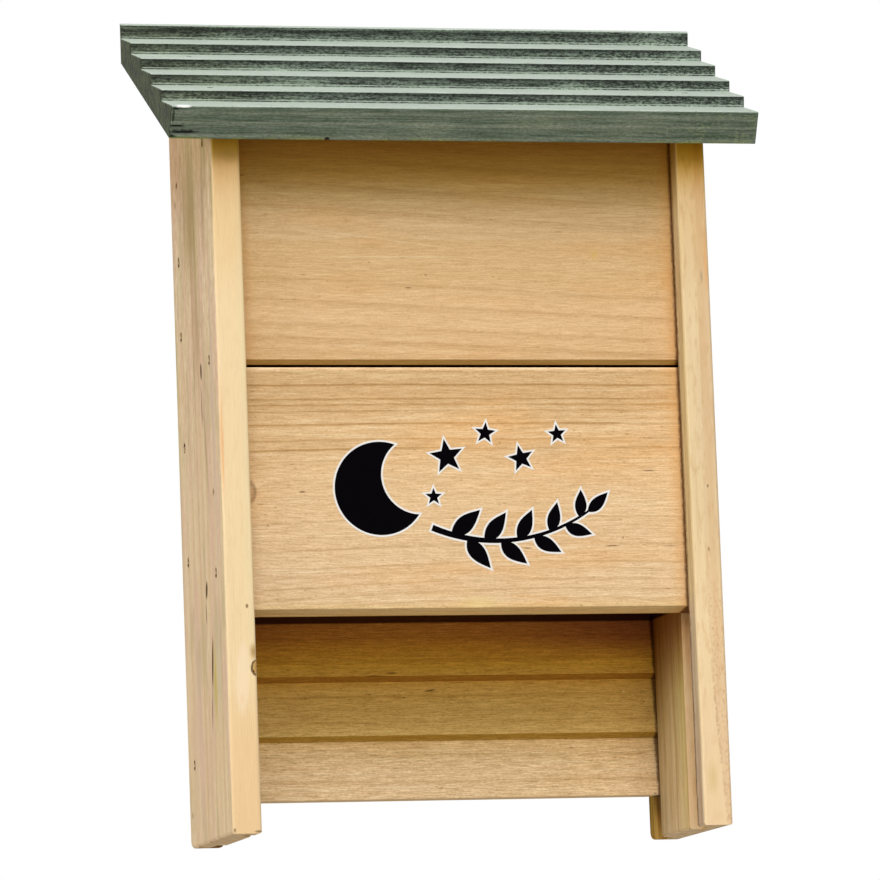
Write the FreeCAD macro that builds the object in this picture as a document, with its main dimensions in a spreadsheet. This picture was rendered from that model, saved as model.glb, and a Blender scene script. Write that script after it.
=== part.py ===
import FreeCAD, Part
import math
import os
import re

import Sketcher
from FreeCAD import Placement, Rotation, Vector

# Bat box: two grooved side boards carry two front boards and three stepped back planks,
# and a stepped plank laid on their sloping tops is the roof. It hangs flat on a wall.
#
# Frame: +Z up, +Y towards the wall, +X to the right of someone who faces the box.
# The origin is under the middle of the whole box, level with the feet of the side boards.
# In the formulas below, depth is counted from the front edges of the side boards.

# Driving dimensions, in millimetres and degrees: name, size, meaning.
SIZES = [
    ("box_width", 240.0, "across the outer faces of the side boards"),
    ("side_thickness", 14.0, "side board"),
    ("side_depth", 92.0, "side board, front edge to wall"),
    ("side_front_height", 328.3, "side board at its front edge, under the roof"),
    ("front_lip", 11.0, "side board in front of the front groove"),
    ("rear_lip", 8.0, "side board behind the rear groove"),
    ("groove_width", 13.0, "both grooves"),
    ("groove_depth", 6.0, "both grooves, into the side board"),
    ("side_edge_round", 1.5, "long edges of a side board, and its lower edge from the heel forward"),
    ("side_heel_round", 4.0, "lower rear corner of a side board"),
    ("board_clearance", 0.25, "board in its groove, on each face and at each end"),

    ("front_board_start", 104.5, "front edge of the lower front board above the feet"),
    ("front_lower_height", 113.8, "lower front board, on its front face"),
    ("front_board_gap", 1.4, "between the two front boards"),
    ("front_bevel", 2.0, "drop of the lower front board's underside to its rear edge"),
    ("front_upper_bevel", 2.2, "lower front edge of the upper front board, up and back"),
    ("front_crest_round", 1.2, "upper front edge of the lower front board"),
    ("board_edge_round", 0.5, "other front edges of the front boards"),
    ("roof_gap", 0.3, "top of the uppermost boards under the roof"),

    ("back_start", 20.4, "lower edge of the lowest back plank above the feet"),
    ("back_land", 1.85, "flat foot of a back plank below its first step"),
    ("back_step_pitch", 28.35, "height of one step of a back plank"),
    ("back_step_depth", 4.0, "set-back of the face under an edge"),
    ("back_riser_drop", 2.45, "height of the slanting underside of a step"),
    ("back_steps", 5, "steps on a full back plank"),
    ("back_plank_gap", 0.5, "between back planks"),
    ("back_edge_round", 0.6, "edges of the back steps"),

    ("roof_width", 284.0, "roof, side to side"),
    ("roof_slope", 28.3, "roof underside, from level"),
    ("roof_thickness", 16.0, "roof at the edges of its steps"),
    ("roof_overhang", 12.0, "lower front edge of the roof, in front of the side boards"),
    ("roof_steps", 5, "steps up the roof"),
    ("roof_step_pitch", 25.0, "one step, up the slope"),
    ("roof_step_depth", 5.0, "height of a riser, square to the underside"),
    ("roof_riser_run", 1.8, "lean of a riser, up the slope"),
    ("roof_bead_reach", 0.5, "small bead at the foot of a riser, forward"),
    ("roof_bead_height", 0.8, "small bead at the foot of a riser, upward"),
    ("roof_top_rib", 1.2, "extra thickness of the uppermost rib"),
    ("roof_edge_round", 0.9, "edges of the roof steps"),
    ("roof_end_round", 0.9, "ends of the roof's front edge and steps"),

    ("nail_length", 35.0, "side nails, head to tip"),
    ("roof_nail_length", 40.0, "roof nails, head to tip"),
    ("nail_radius", 0.9, "shank of every nail"),
    ("nail_head_radius", 1.4, "head of every nail"),
    ("nail_head_thickness", 1.0, "head of every nail"),
    ("nail_point", 3.0, "tapered point of every nail"),
    ("nail_sink", 0.5, "head below the face of the wood"),
    ("nail_clearance", 0.04, "wood round a nail"),
    ("nail_tip_room", 0.3, "wood beyond the tip of a nail or screw"),
    ("front_lower_nail_one", 18.7, "above the board's front lower edge"),
    ("front_lower_nail_two", 55.9, "above the board's front lower edge"),
    ("front_upper_nail_one", 3.2, "above the board's lower edge"),
    ("front_upper_nail_two", 8.6, "below the board's top"),
    ("back_lower_nail_one", 18.3, "above the plank's lower edge"),
    ("back_lower_nail_two", 26.3, "below the plank's top"),
    ("back_middle_nail_one", 26.9, "above the plank's lower edge"),
    ("back_middle_nail_two", 81.0, "above the plank's lower edge"),
    ("back_middle_nail_three", 24.3, "below the plank's top"),
    ("back_upper_nail", 12.0, "from the plank's lower edge and from its top"),
    ("roof_nail_one", 37.0, "up the slope from the roof's lower front edge"),
    ("roof_nail_two", 87.0, "up the slope from the roof's lower front edge"),

    ("hanger_height", 28.0, "hanger plate"),
    ("hanger_sheet", 1.2, "metal of the hanger plate"),
    ("hanger_foot", 14.0, "each foot of the hanger, where a screw holds it"),
    ("hanger_bridge", 32.0, "raised middle of the hanger"),
    ("hanger_ramp", 3.0, "width of the bend from foot to bridge"),
    ("hanger_rise", 4.6, "room behind the bridge for a screw head"),
    ("keyhole_radius", 5.0, "entry hole for a screw head"),
    ("keyhole_slot_radius", 2.4, "slot that a screw shank rests in"),
    ("keyhole_travel", 9.0, "from the entry hole up to the end of the slot"),
    ("keyhole_drop", 5.0, "entry hole below the middle of the plate"),
    ("screw_radius", 1.6, "shank of a hanger screw"),
    ("screw_length", 8.0, "hanger screw in the wood"),
    ("screw_head_radius", 3.0, "head of a hanger screw"),
    ("screw_head_height", 1.9, "head of a hanger screw"),
    ("screw_recess", 0.9, "depth of the cross in the screw head"),
    ("screw_recess_width", 0.8, "arm of the cross in the screw head"),
    ("cut_margin", 2.0, "reach of a cut past the wood that it opens"),
]
SIZE_NAMES = {name for name, size, meaning in SIZES}

# Formulas that several pieces share.
SLOPE_RISE = "tan(roof_slope)"
SIDE_REAR_HEIGHT = f"(side_front_height + side_depth * {SLOPE_RISE})"
BOARD_THICKNESS = "(groove_width - 2 * board_clearance)"
BOARD_LENGTH = "(box_width - 2 * side_thickness + 2 * groove_depth - 2 * board_clearance)"
FRONT_FACE = "(front_lip + board_clearance)"
REAR_GROOVE = "(side_depth - rear_lip - groove_width)"
BACK_FACE = f"({REAR_GROOVE} + board_clearance)"
FRONT_UPPER_START = "(front_board_start + front_lower_height + front_board_gap)"
FRONT_UPPER_HEIGHT = f"(side_front_height + {FRONT_FACE} * {SLOPE_RISE} - roof_gap - {FRONT_UPPER_START})"
BACK_HEIGHT = "(back_land + back_steps * back_step_pitch - back_riser_drop)"
BACK_MIDDLE_START = f"(back_start + {BACK_HEIGHT} + back_plank_gap)"
BACK_UPPER_START = f"({BACK_MIDDLE_START} + {BACK_HEIGHT} + back_plank_gap)"
BACK_UPPER_HEIGHT = f"(side_front_height + {BACK_FACE} * {SLOPE_RISE} - roof_gap - {BACK_UPPER_START})"
HOLE_RADIUS = "(nail_radius + nail_clearance)"
SEAT_RADIUS = "(nail_head_radius + nail_clearance)"
SEAT_DEPTH = "(nail_sink + nail_head_thickness + nail_clearance)"
WEB = "(side_thickness - groove_depth)"
END_HOLE_DEPTH = f"(nail_sink + nail_length - {WEB} - board_clearance + nail_tip_room)"
TREAD_RUN = "(roof_step_pitch - roof_riser_run)"
TREAD_FALL = f"(roof_step_depth / {TREAD_RUN})"
ROOF_NAIL_ACROSS = f"(box_width / 2 - {WEB} / 2)"
HANGER_WIDTH = "(2 * hanger_foot + 2 * hanger_ramp + hanger_bridge)"
HANGER_SCREW_ACROSS = f"({HANGER_WIDTH} / 2 - hanger_foot / 2 + hanger_sheet / 2)"
HANGER_MIDDLE = f"({BACK_UPPER_HEIGHT} / 2)"
SCREW_HOLE_RADIUS = "(screw_radius + nail_clearance)"

# How far the rounded upper front edge of the roof stands in front of the side boards.
ROUND_CENTRE_DROP = f"roof_edge_round * ({TREAD_FALL} + sqrt(1 + {TREAD_FALL} ^ 2))"
ROOF_REACH = (f"(roof_overhang + roof_edge_round * (1 - cos(roof_slope))"
              f" + (roof_thickness - {ROUND_CENTRE_DROP}) * sin(roof_slope))")
FRONT_EDGE_Y = f"(({ROOF_REACH} - side_depth) / 2)"

# Nails of each board or plank, above its lower edge.
FRONT_LOWER_NAILS = ["front_lower_nail_one", "front_lower_nail_two"]
FRONT_UPPER_NAILS = ["front_upper_nail_one", f"({FRONT_UPPER_HEIGHT} - front_upper_nail_two)"]
BACK_LOWER_NAILS = ["back_lower_nail_one", f"({BACK_HEIGHT} - back_lower_nail_two)"]
BACK_MIDDLE_NAILS = ["back_middle_nail_one", "back_middle_nail_two",
                     f"({BACK_HEIGHT} - back_middle_nail_three)"]
BACK_UPPER_NAILS = ["back_upper_nail", f"({BACK_UPPER_HEIGHT} - back_upper_nail)"]
ROOF_NAILS = ["roof_nail_one", "roof_nail_two"]

# Nail heights above the feet, row by row.
FRONT_ROW = ([f"(front_board_start + {nail})" for nail in FRONT_LOWER_NAILS]
             + [f"({FRONT_UPPER_START} + {nail})" for nail in FRONT_UPPER_NAILS])
BACK_ROW = ([f"(back_start + {nail})" for nail in BACK_LOWER_NAILS]
            + [f"({BACK_MIDDLE_START} + {nail})" for nail in BACK_MIDDLE_NAILS]
            + [f"({BACK_UPPER_START} + {nail})" for nail in BACK_UPPER_NAILS])
FRONT_ROW_DEPTH = "(front_lip + groove_width / 2)"
BACK_ROW_DEPTH = f"({REAR_GROOVE} + groove_width / 2)"

# The sketcher's numbers for its own origin and axes, and for the points of a shape.
ORIGIN, UP_AXIS = range(-1, -3, -1)
ACROSS_AXIS = ORIGIN
START, END, CENTRE = range(1, 4)
SAME_PLACE = 0.001

doc = FreeCAD.newDocument("BatBox")
sheet = doc.addObject("Spreadsheet::Sheet", "Sizes")
for row, (size_name, size, meaning) in enumerate(SIZES, start=1):
    sheet.set(f"A{row}", size_name)
    sheet.set(f"B{row}", str(size))
    sheet.set(f"C{row}", meaning)
    sheet.setAlias(f"B{row}", size_name)
doc.recompute()


def bound(formula):
    """The formula with every size's name pointed at its cell in the sheet."""
    return re.sub(r"[a-z_]+", lambda word: ("Sizes." if word[0] in SIZE_NAMES else "") + word[0], formula)


def value(formula):
    """What the formula comes to."""
    return float(sheet.evalExpression(bound(formula)))


def new_body(name, across="0", depth="0", up="0"):
    """A body placed by formulas: across from the middle, depth from the front edges, up from the feet."""
    body = doc.addObject("PartDesign::Body", name)
    body.Label = name
    body.setExpression("Placement.Base.x", bound(across))
    body.setExpression("Placement.Base.y", bound(f"{FRONT_EDGE_Y} + {depth}"))
    body.setExpression("Placement.Base.z", bound(up))
    return body


def new_sketch(body, name, role, lift="0"):
    """A sketch on one of the body's own origin planes, lifted along its normal."""
    plane = next(feature for feature in body.Origin.OriginFeatures if feature.Role == role)
    sketch = body.newObject("Sketcher::SketchObject", f"{body.Name}_{name}")
    sketch.AttachmentSupport = [(plane, "")]
    sketch.MapMode = "FlatFace"
    sketch.setExpression("AttachmentOffset.Base.z", bound(lift))
    return sketch


def hold(sketch, shape, point, across, up):
    """Hold one point of a shape at two formulas from the sketch's origin."""
    for kind, axis, formula in (("DistanceX", UP_AXIS, across), ("DistanceY", ACROSS_AXIS, up)):
        size = value(formula)
        if size == 0:
            sketch.addConstraint(Sketcher.Constraint("PointOnObject", shape, point, axis))
        else:
            number = sketch.addConstraint(Sketcher.Constraint(kind, ORIGIN, START, shape, point, size))
            name_constraint(sketch, number, formula)


def name_constraint(sketch, number, formula):
    """Name a constraint and bind it to a formula."""
    name = f"size{number}"
    sketch.renameConstraint(number, name)
    sketch.setExpression(f"Constraints.{name}", bound(formula))


def draw_polygon(sketch, corners):
    """A closed outline through corners, each held by two formulas."""
    first = sketch.GeometryCount
    places = [Vector(value(across), value(up), 0) for across, up in corners]
    for here, there in zip(places, places[1:] + places[:1]):
        sketch.addGeometry(Part.LineSegment(here, there), False)
    for number, (across, up) in enumerate(corners):
        following = (number + 1) % len(corners)
        sketch.addConstraint(
            Sketcher.Constraint("Coincident", first + number, END, first + following, START))
        hold(sketch, first + number, START, across, up)


def draw_circle(sketch, across, up, radius):
    """A circle whose centre and radius are held by formulas."""
    middle = Vector(value(across), value(up), 0)
    shape = sketch.addGeometry(Part.Circle(middle, Vector(0, 0, 1), value(radius)), False)
    hold(sketch, shape, CENTRE, across, up)
    number = sketch.addConstraint(Sketcher.Constraint("Radius", shape, value(radius)))
    name_constraint(sketch, number, radius)


def new_pad(body, sketch, length, backwards=False, both_ways=False):
    """Fill the sketch to a length, along its normal, against it or half each way."""
    pad = body.newObject("PartDesign::Pad", f"{sketch.Name}_pad")
    pad.Profile = (sketch, [""])
    pad.setExpression("Length", bound(length))
    pad.Reversed = backwards
    if both_ways:
        pad.SideType = "Symmetric"
    doc.recompute()
    return pad


def new_pocket(body, sketch, depth=None, along_normal=False):
    """Cut the sketch out to a depth, or right through without one, and check that it cuts."""
    before = body.Shape.Volume
    pocket = body.newObject("PartDesign::Pocket", f"{sketch.Name}_pocket")
    pocket.Profile = (sketch, [""])
    pocket.Reversed = along_normal
    if depth is None:
        pocket.Type = "ThroughAll"
    else:
        pocket.setExpression("Length", bound(depth))
    doc.recompute()
    if not body.Shape.Volume < before:
        raise RuntimeError(f"{pocket.Name} cuts nothing")
    return pocket


def repeat(body, feature, role, pitch, count):
    """Repeat a feature along one of the body's axes."""
    axis = next(found for found in body.Origin.OriginFeatures if found.Role == role)
    pattern = body.newObject("PartDesign::LinearPattern", f"{feature.Name}_row")
    pattern.Originals = [feature]
    pattern.Direction = (axis, [""])
    pattern.Mode = "Spacing"
    pattern.setExpression("Offset", bound(pitch))
    pattern.setExpression("Occurrences", bound(count))
    body.Tip = pattern
    doc.recompute()


def mirror_across(body, feature):
    """Mirror a feature to the other end of the body."""
    plane = next(found for found in body.Origin.OriginFeatures if found.Role == "YZ_Plane")
    mirrored = body.newObject("PartDesign::Mirrored", f"{feature.Name}_mirrored")
    mirrored.Originals = [feature]
    mirrored.MirrorPlane = (plane, [""])
    body.Tip = mirrored
    doc.recompute()


def round_edges(body, name, radius, along, places):
    """Round the straight edges that run along X or Z through the given pairs of formulas."""
    wanted = [(value(one), value(other)) for one, other in places]
    found = []
    for edge, start, end in edges_of(body):
        pairs = [(point.y, point.z) if along == "X" else (point.x, point.y) for point in (start, end)]
        for spot in wanted:
            if all(abs(pair[0] - spot[0]) + abs(pair[1] - spot[1]) < SAME_PLACE for pair in pairs):
                found.append(edge)
    if len(found) < len(wanted):
        raise RuntimeError(f"{body.Name} {name}: {len(found)} edges for {len(wanted)} places")
    fillet_edges(body, name, radius, found)


def edges_of(body):
    """Name, start and end of every edge of a body that has two ends."""
    for number, edge in enumerate(body.Tip.Shape.Edges, start=1):
        ends = [vertex.Point for vertex in edge.Vertexes]
        if len(ends) == 2:
            yield f"Edge{number}", *ends


def fillet_edges(body, name, radius, edges):
    """Round the named edges of a body."""
    base = body.Tip
    fillet = body.newObject("PartDesign::Fillet", f"{body.Name}_{name}")
    fillet.Base = (base, edges)
    fillet.setExpression("Radius", bound(radius))
    body.Tip = fillet
    doc.recompute()


def turn_on_slope(thing, placement):
    """Lean a body or a sketch back by the roof's slope, about the X axis."""
    setattr(thing, placement, Placement(Vector(0, 0, 0), Rotation(Vector(1, 0, 0), value("roof_slope"))))
    thing.setExpression(f"{placement}.Rotation.Angle", bound("roof_slope"))


def slope_nail_height(nail):
    """Height of a roof nail's head above the roof's underside, from where the nail stands."""
    return f"(roof_thickness - mod({nail}; roof_step_pitch) * {TREAD_FALL} - nail_sink)"


def make_side(name, side):
    """A side board: side is -1 at the left and 1 at the right."""
    body = new_body(name, across=f"{side} * box_width / 2")
    outline = new_sketch(body, "outline", "YZ_Plane")
    draw_polygon(outline, [("0", "0"), ("side_depth", "0"), ("side_depth", SIDE_REAR_HEIGHT),
                           ("0", "side_front_height")])
    new_pad(body, outline, "side_thickness", backwards=side > 0)
    inner_face = f"{-side} * side_thickness"
    round_edges(body, "heel", "side_heel_round", "X", [("side_depth", "0")])
    round_edges(body, "long_edges", "side_edge_round", "Z",
                [(across, depth) for across in ("0", inner_face) for depth in ("0", "side_depth")])

    grooves = new_sketch(body, "grooves", "YZ_Plane", lift=inner_face)
    for front in ("front_lip", REAR_GROOVE):
        rear = f"({front} + groove_width)"
        draw_polygon(grooves, [(front, "0"), (rear, "0"), (rear, SIDE_REAR_HEIGHT),
                               (front, SIDE_REAR_HEIGHT)])
    new_pocket(body, grooves, "groove_depth", along_normal=side > 0)

    rows = [(FRONT_ROW_DEPTH, height) for height in FRONT_ROW]
    rows += [(BACK_ROW_DEPTH, height) for height in BACK_ROW]
    for cut, radius, depth in (("holes", HOLE_RADIUS, WEB), ("seats", SEAT_RADIUS, SEAT_DEPTH)):
        sketch = new_sketch(body, cut, "YZ_Plane")
        for row_depth, height in rows:
            draw_circle(sketch, row_depth, height, radius)
        new_pocket(body, sketch, depth, along_normal=side < 0)

    for number, nail in enumerate(ROOF_NAILS):
        sketch = new_sketch(body, f"roof_hole_{number}", "XY_Plane")
        turn_on_slope(sketch, "AttachmentOffset")
        sketch.setExpression("AttachmentOffset.Base.z", bound("side_front_height"))
        draw_circle(sketch, f"{-side} * {WEB} / 2", f"{nail} - roof_overhang / cos(roof_slope)",
                    HOLE_RADIUS)
        new_pocket(body, sketch, f"roof_nail_length - {slope_nail_height(nail)} + nail_tip_room")


def drill_ends(body, heights):
    """Nail holes in both ends of a board."""
    ends = new_sketch(body, "end_holes", "YZ_Plane", lift=f"{BOARD_LENGTH} / 2")
    for height in heights:
        draw_circle(ends, f"{BOARD_THICKNESS} / 2", height, HOLE_RADIUS)
    mirror_across(body, new_pocket(body, ends, END_HOLE_DEPTH))


def make_front_lower():
    """Lower front board, with a bevelled underside and a well rounded upper front edge."""
    body = new_body("front_board_lower", depth=FRONT_FACE, up="front_board_start - front_bevel")
    outline = new_sketch(body, "outline", "YZ_Plane")
    top = "(front_bevel + front_lower_height)"
    draw_polygon(outline, [("0", "front_bevel"), (BOARD_THICKNESS, "0"), (BOARD_THICKNESS, top), ("0", top)])
    new_pad(body, outline, BOARD_LENGTH, both_ways=True)
    round_edges(body, "crest", "front_crest_round", "X", [("0", top)])
    round_edges(body, "foot", "board_edge_round", "X", [("0", "front_bevel")])
    drill_ends(body, [f"(front_bevel + {nail})" for nail in FRONT_LOWER_NAILS])


def make_front_upper():
    """Upper front board, bevelled along its lower front edge, up to the roof."""
    body = new_body("front_board_upper", depth=FRONT_FACE, up=FRONT_UPPER_START)
    outline = new_sketch(body, "outline", "YZ_Plane")
    draw_polygon(outline, [("0", "front_upper_bevel"), ("front_upper_bevel", "0"), (BOARD_THICKNESS, "0"),
                           (BOARD_THICKNESS, FRONT_UPPER_HEIGHT), ("0", FRONT_UPPER_HEIGHT)])
    new_pad(body, outline, BOARD_LENGTH, both_ways=True)
    round_edges(body, "foot", "board_edge_round", "X", [("0", "front_upper_bevel")])
    drill_ends(body, FRONT_UPPER_NAILS)


def make_back_plank(name, start, height, nails):
    """A back plank, stepped on its front so that bats can hold on to it."""
    body = new_body(name, depth=BACK_FACE, up=start)
    outline = new_sketch(body, "outline", "YZ_Plane")
    draw_polygon(outline, [("0", "0"), (BOARD_THICKNESS, "0"), (BOARD_THICKNESS, height), ("0", height)])
    new_pad(body, outline, BOARD_LENGTH, both_ways=True)
    step = new_sketch(body, "step", "YZ_Plane", lift=f"{BOARD_LENGTH} / 2")
    draw_polygon(step, [("0", "back_land"),
                        ("back_step_depth", "back_land + back_step_pitch - back_riser_drop"),
                        ("0", "back_land + back_step_pitch")])
    cuts = int(value(f"ceil(({height} - back_land) / back_step_pitch)"))
    repeat(body, new_pocket(body, step), "Z_Axis", "back_step_pitch", str(cuts))
    edges = [("0", f"back_land + {number} * back_step_pitch") for number in range(1, cuts)]
    if edges:
        round_edges(body, "step_edges", "back_edge_round", "X", edges)
    drill_ends(body, nails)
    return body


def round_roof_ends(body):
    """Round the ends of the roof's front and steps, but not of its underside or of the rib at the wall."""
    end_plane = value("roof_width / 2")
    last_riser = value("roof_steps * roof_step_pitch - roof_riser_run")
    found = []
    for edge, start, end in edges_of(body):
        at_end = all(abs(abs(point.x) - end_plane) < SAME_PLACE for point in (start, end))
        across = abs(start.x - end.x) > SAME_PLACE
        on_rib = min(start.y, end.y) > last_riser - SAME_PLACE
        at_rear = min(start.z, end.z) < SAME_PLACE and max(start.y, end.y) > last_riser
        on_underside = max(start.z, end.z) < SAME_PLACE
        if at_end and not (across or on_rib or at_rear or on_underside):
            found.append(edge)
    fillet_edges(body, "ends", "roof_end_round", found)


def make_roof():
    """The roof: one stepped plank, square to its slope in front and plumb at the wall."""
    body = new_body("roof_board")
    turn_on_slope(body, "Placement")
    body.setExpression("Placement.Base.y", bound(f"{FRONT_EDGE_Y} - roof_overhang"))
    body.setExpression("Placement.Base.z", bound(f"side_front_height - roof_overhang * {SLOPE_RISE}"))

    outline = new_sketch(body, "outline", "YZ_Plane")
    rib_top = "(roof_thickness + roof_top_rib)"
    underside = "((side_depth + roof_overhang) / cos(roof_slope))"
    draw_polygon(outline, [("0", "0"), (underside, "0"),
                           (f"({underside} + {rib_top} * {SLOPE_RISE})", rib_top), ("0", rib_top)])
    new_pad(body, outline, "roof_width", both_ways=True)

    # One step: down the tread, up the riser and out above the uppermost rib.
    step = new_sketch(body, "step", "YZ_Plane", lift="roof_width / 2")
    lean = "(roof_riser_run / roof_step_depth)"
    clear_of_top = f"({rib_top} + cut_margin)"
    draw_polygon(step, [("0", "roof_thickness"),
                        (TREAD_RUN, "roof_thickness - roof_step_depth"),
                        (f"roof_step_pitch + roof_top_rib * {lean}", rib_top),
                        (f"roof_step_pitch + roof_top_rib * {lean}", clear_of_top),
                        ("0", clear_of_top)])
    repeat(body, new_pocket(body, step), "Y_Axis", "roof_step_pitch", "roof_steps")
    steps = int(value("roof_steps"))
    edges = [(f"{number} * roof_step_pitch", "roof_thickness") for number in range(steps)]
    edges.append((f"{steps} * roof_step_pitch + roof_top_rib * {lean}", rib_top))
    round_edges(body, "step_edges", "roof_edge_round", "X", edges)

    for number, nail in enumerate(ROOF_NAILS):
        seat = f"{slope_nail_height(nail)} - nail_head_thickness - nail_clearance"
        for cut, lift, radius in (("hole", "0", HOLE_RADIUS), ("seat", seat, SEAT_RADIUS)):
            sketch = new_sketch(body, f"{cut}_{number}", "XY_Plane", lift=lift)
            for side in (-1, 1):
                draw_circle(sketch, f"{side} * {ROOF_NAIL_ACROSS}", nail, radius)
            new_pocket(body, sketch, along_normal=True)

    round_roof_ends(body)

    # The small bead in the corner between tread and riser.
    bead = new_sketch(body, "bead", "YZ_Plane")
    bead_front = f"({TREAD_RUN} - roof_bead_reach)"
    bead_top = "(roof_thickness - roof_step_depth + roof_bead_height)"
    draw_polygon(bead, [(bead_front, f"roof_thickness - {bead_front} * {TREAD_FALL}"),
                        (TREAD_RUN, "roof_thickness - roof_step_depth"),
                        (f"{TREAD_RUN} + roof_bead_height * {lean}", bead_top),
                        (bead_front, bead_top)])
    strip = new_pad(body, bead, "roof_width - 2 * roof_end_round", both_ways=True)
    repeat(body, strip, "Y_Axis", "roof_step_pitch", "roof_steps")


def make_hanger():
    """Pressed keyhole plate behind the upper back plank, clear of the wall."""
    rear_face = f"({BACK_FACE} + {BOARD_THICKNESS})"
    body = new_body("hanger_plate", depth=rear_face,
                    up=f"{BACK_UPPER_START} + {HANGER_MIDDLE} - hanger_height / 2")
    profile = new_sketch(body, "profile", "XY_Plane")
    foot_end = f"({HANGER_WIDTH} / 2)"
    foot_start = f"({foot_end} - hanger_foot)"
    bridge_end = "(hanger_bridge / 2)"
    crest = "(hanger_rise + hanger_sheet)"
    right_half = [(bridge_end, "hanger_rise"), (foot_start, "0"), (foot_end, "0"),
                  (foot_end, "hanger_sheet"), (f"({foot_start} + hanger_sheet)", "hanger_sheet"),
                  (f"({bridge_end} + hanger_sheet)", crest)]
    left_half = [(f"-{across}", depth) for across, depth in reversed(right_half)]
    draw_polygon(profile, right_half + left_half)
    new_pad(body, profile, "hanger_height")

    # The entry hole, and above it the slot that takes the weight.
    entry = "(hanger_height / 2 - keyhole_drop)"
    slot_top = f"({entry} + keyhole_travel)"
    slot = new_sketch(body, "slot", "XZ_Plane")
    draw_polygon(slot, [("-keyhole_slot_radius", entry), ("keyhole_slot_radius", entry),
                        ("keyhole_slot_radius", slot_top), ("-keyhole_slot_radius", slot_top)])
    new_pocket(body, slot)
    for name, height, radius in (("entry", entry, "keyhole_radius"),
                                 ("slot_end", slot_top, "keyhole_slot_radius")):
        sketch = new_sketch(body, name, "XZ_Plane")
        draw_circle(sketch, "0", height, radius)
        new_pocket(body, sketch)
    screws = new_sketch(body, "screw_holes", "XZ_Plane")
    for side in (-1, 1):
        draw_circle(screws, f"{side} * {HANGER_SCREW_ACROSS}", "hanger_height / 2", SCREW_HOLE_RADIUS)
    new_pocket(body, screws)


def drill_for_hanger(plank):
    """Screw holes for the hanger in the rear face of the upper back plank."""
    sketch = new_sketch(plank, "screw_holes", "XZ_Plane", lift=f"-{BOARD_THICKNESS}")
    for side in (-1, 1):
        draw_circle(sketch, f"{side} * {HANGER_SCREW_ACROSS}", HANGER_MIDDLE, SCREW_HOLE_RADIUS)
    new_pocket(plank, sketch, "screw_length + nail_tip_room", along_normal=True)


def make_nail(length):
    """One nail that points along +X, with the outer face of its head at the origin."""
    head_radius = value("nail_head_radius")
    head_end = value("nail_head_thickness")
    radius = value("nail_radius")
    taper_start = length - value("nail_point")
    profile = [Vector(0, 0, 0), Vector(0, head_radius, 0), Vector(head_end, head_radius, 0),
               Vector(head_end, radius, 0), Vector(taper_start, radius, 0), Vector(length, 0, 0)]
    face = Part.Face(Part.makePolygon(profile + profile[:1]))
    return face.revolve(Vector(0, 0, 0), Vector(1, 0, 0), 360)


def placed(shape, placement):
    """A copy of a shape at a placement."""
    copy = shape.copy()
    copy.Placement = placement
    return copy


def make_group(name, solids):
    """Separate equal solids as one node, given in the frame of the side boards' front edges."""
    feature = doc.addObject("Part::Feature", name)
    feature.Label = name
    feature.Shape = Part.makeCompound(solids)
    feature.Placement = Placement(Vector(0, value(FRONT_EDGE_Y), 0), Rotation())


def make_side_nails(name, row_depth, heights):
    """A row of nails through each side board into the ends of the boards."""
    nail = make_nail(value("nail_length"))
    head = value("box_width / 2 - nail_sink")
    solids = []
    for side, turn in ((-1, 0), (1, 180)):
        for height in heights:
            spot = Vector(side * head, value(row_depth), value(height))
            solids.append(placed(nail, Placement(spot, Rotation(Vector(0, 0, 1), turn))))
    make_group(name, solids)


def make_roof_nails():
    """Nails through the roof, square to its underside, into the tops of the side boards."""
    nail = make_nail(value("roof_nail_length"))
    nail = placed(nail, Placement(Vector(0, 0, 0), Rotation(Vector(0, 1, 0), 90)))
    lean = Rotation(Vector(1, 0, 0), value("roof_slope"))
    corner = Vector(0, -value("roof_overhang"), value(f"side_front_height - roof_overhang * {SLOPE_RISE}"))
    solids = []
    for side in (-1, 1):
        for name in ROOF_NAILS:
            on_roof = Vector(side * value(ROOF_NAIL_ACROSS), value(name), value(slope_nail_height(name)))
            spot = corner + lean.multVec(on_roof)
            solids.append(placed(nail, Placement(spot, lean * nail.Placement.Rotation)))
    make_group("roof_nails", solids)


def make_screws():
    """Two domed screws with a cross recess, which hold the hanger."""
    radius = value("screw_radius")
    head_radius = value("screw_head_radius")
    head_height = value("screw_head_height")
    length = value("screw_length + hanger_sheet")
    point = value("nail_point")
    profile = [Part.makeLine(Vector(0, head_height, 0), Vector(0, -length, 0)),
               Part.makeLine(Vector(0, -length, 0), Vector(radius, point - length, 0)),
               Part.makeLine(Vector(radius, point - length, 0), Vector(radius, 0, 0)),
               Part.makeLine(Vector(radius, 0, 0), Vector(head_radius, 0, 0))]
    dome_middle = Vector(head_radius * math.sqrt(0.5), head_height * math.sqrt(0.5), 0)
    dome = Part.Arc(Vector(head_radius, 0, 0), dome_middle, Vector(0, head_height, 0)).toShape()
    face = Part.Face(Part.Wire(Part.__sortEdges__(profile + [dome])))
    screw = face.revolve(Vector(0, 0, 0), Vector(0, 1, 0), 360)
    arm = value("screw_recess_width")
    for wide, tall in ((head_radius, arm), (arm, head_radius)):
        slot = Part.makeBox(wide, head_height, tall,
                            Vector(-wide / 2, head_height - value("screw_recess"), -tall / 2))
        screw = screw.cut(slot)
    seat = value(f"{BACK_FACE} + {BOARD_THICKNESS} + hanger_sheet")
    height = value(f"{BACK_UPPER_START} + {HANGER_MIDDLE}")
    solids = [placed(screw, Placement(Vector(side * value(HANGER_SCREW_ACROSS), seat, height), Rotation()))
              for side in (-1, 1)]
    make_group("hanger_screws", solids)


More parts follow.
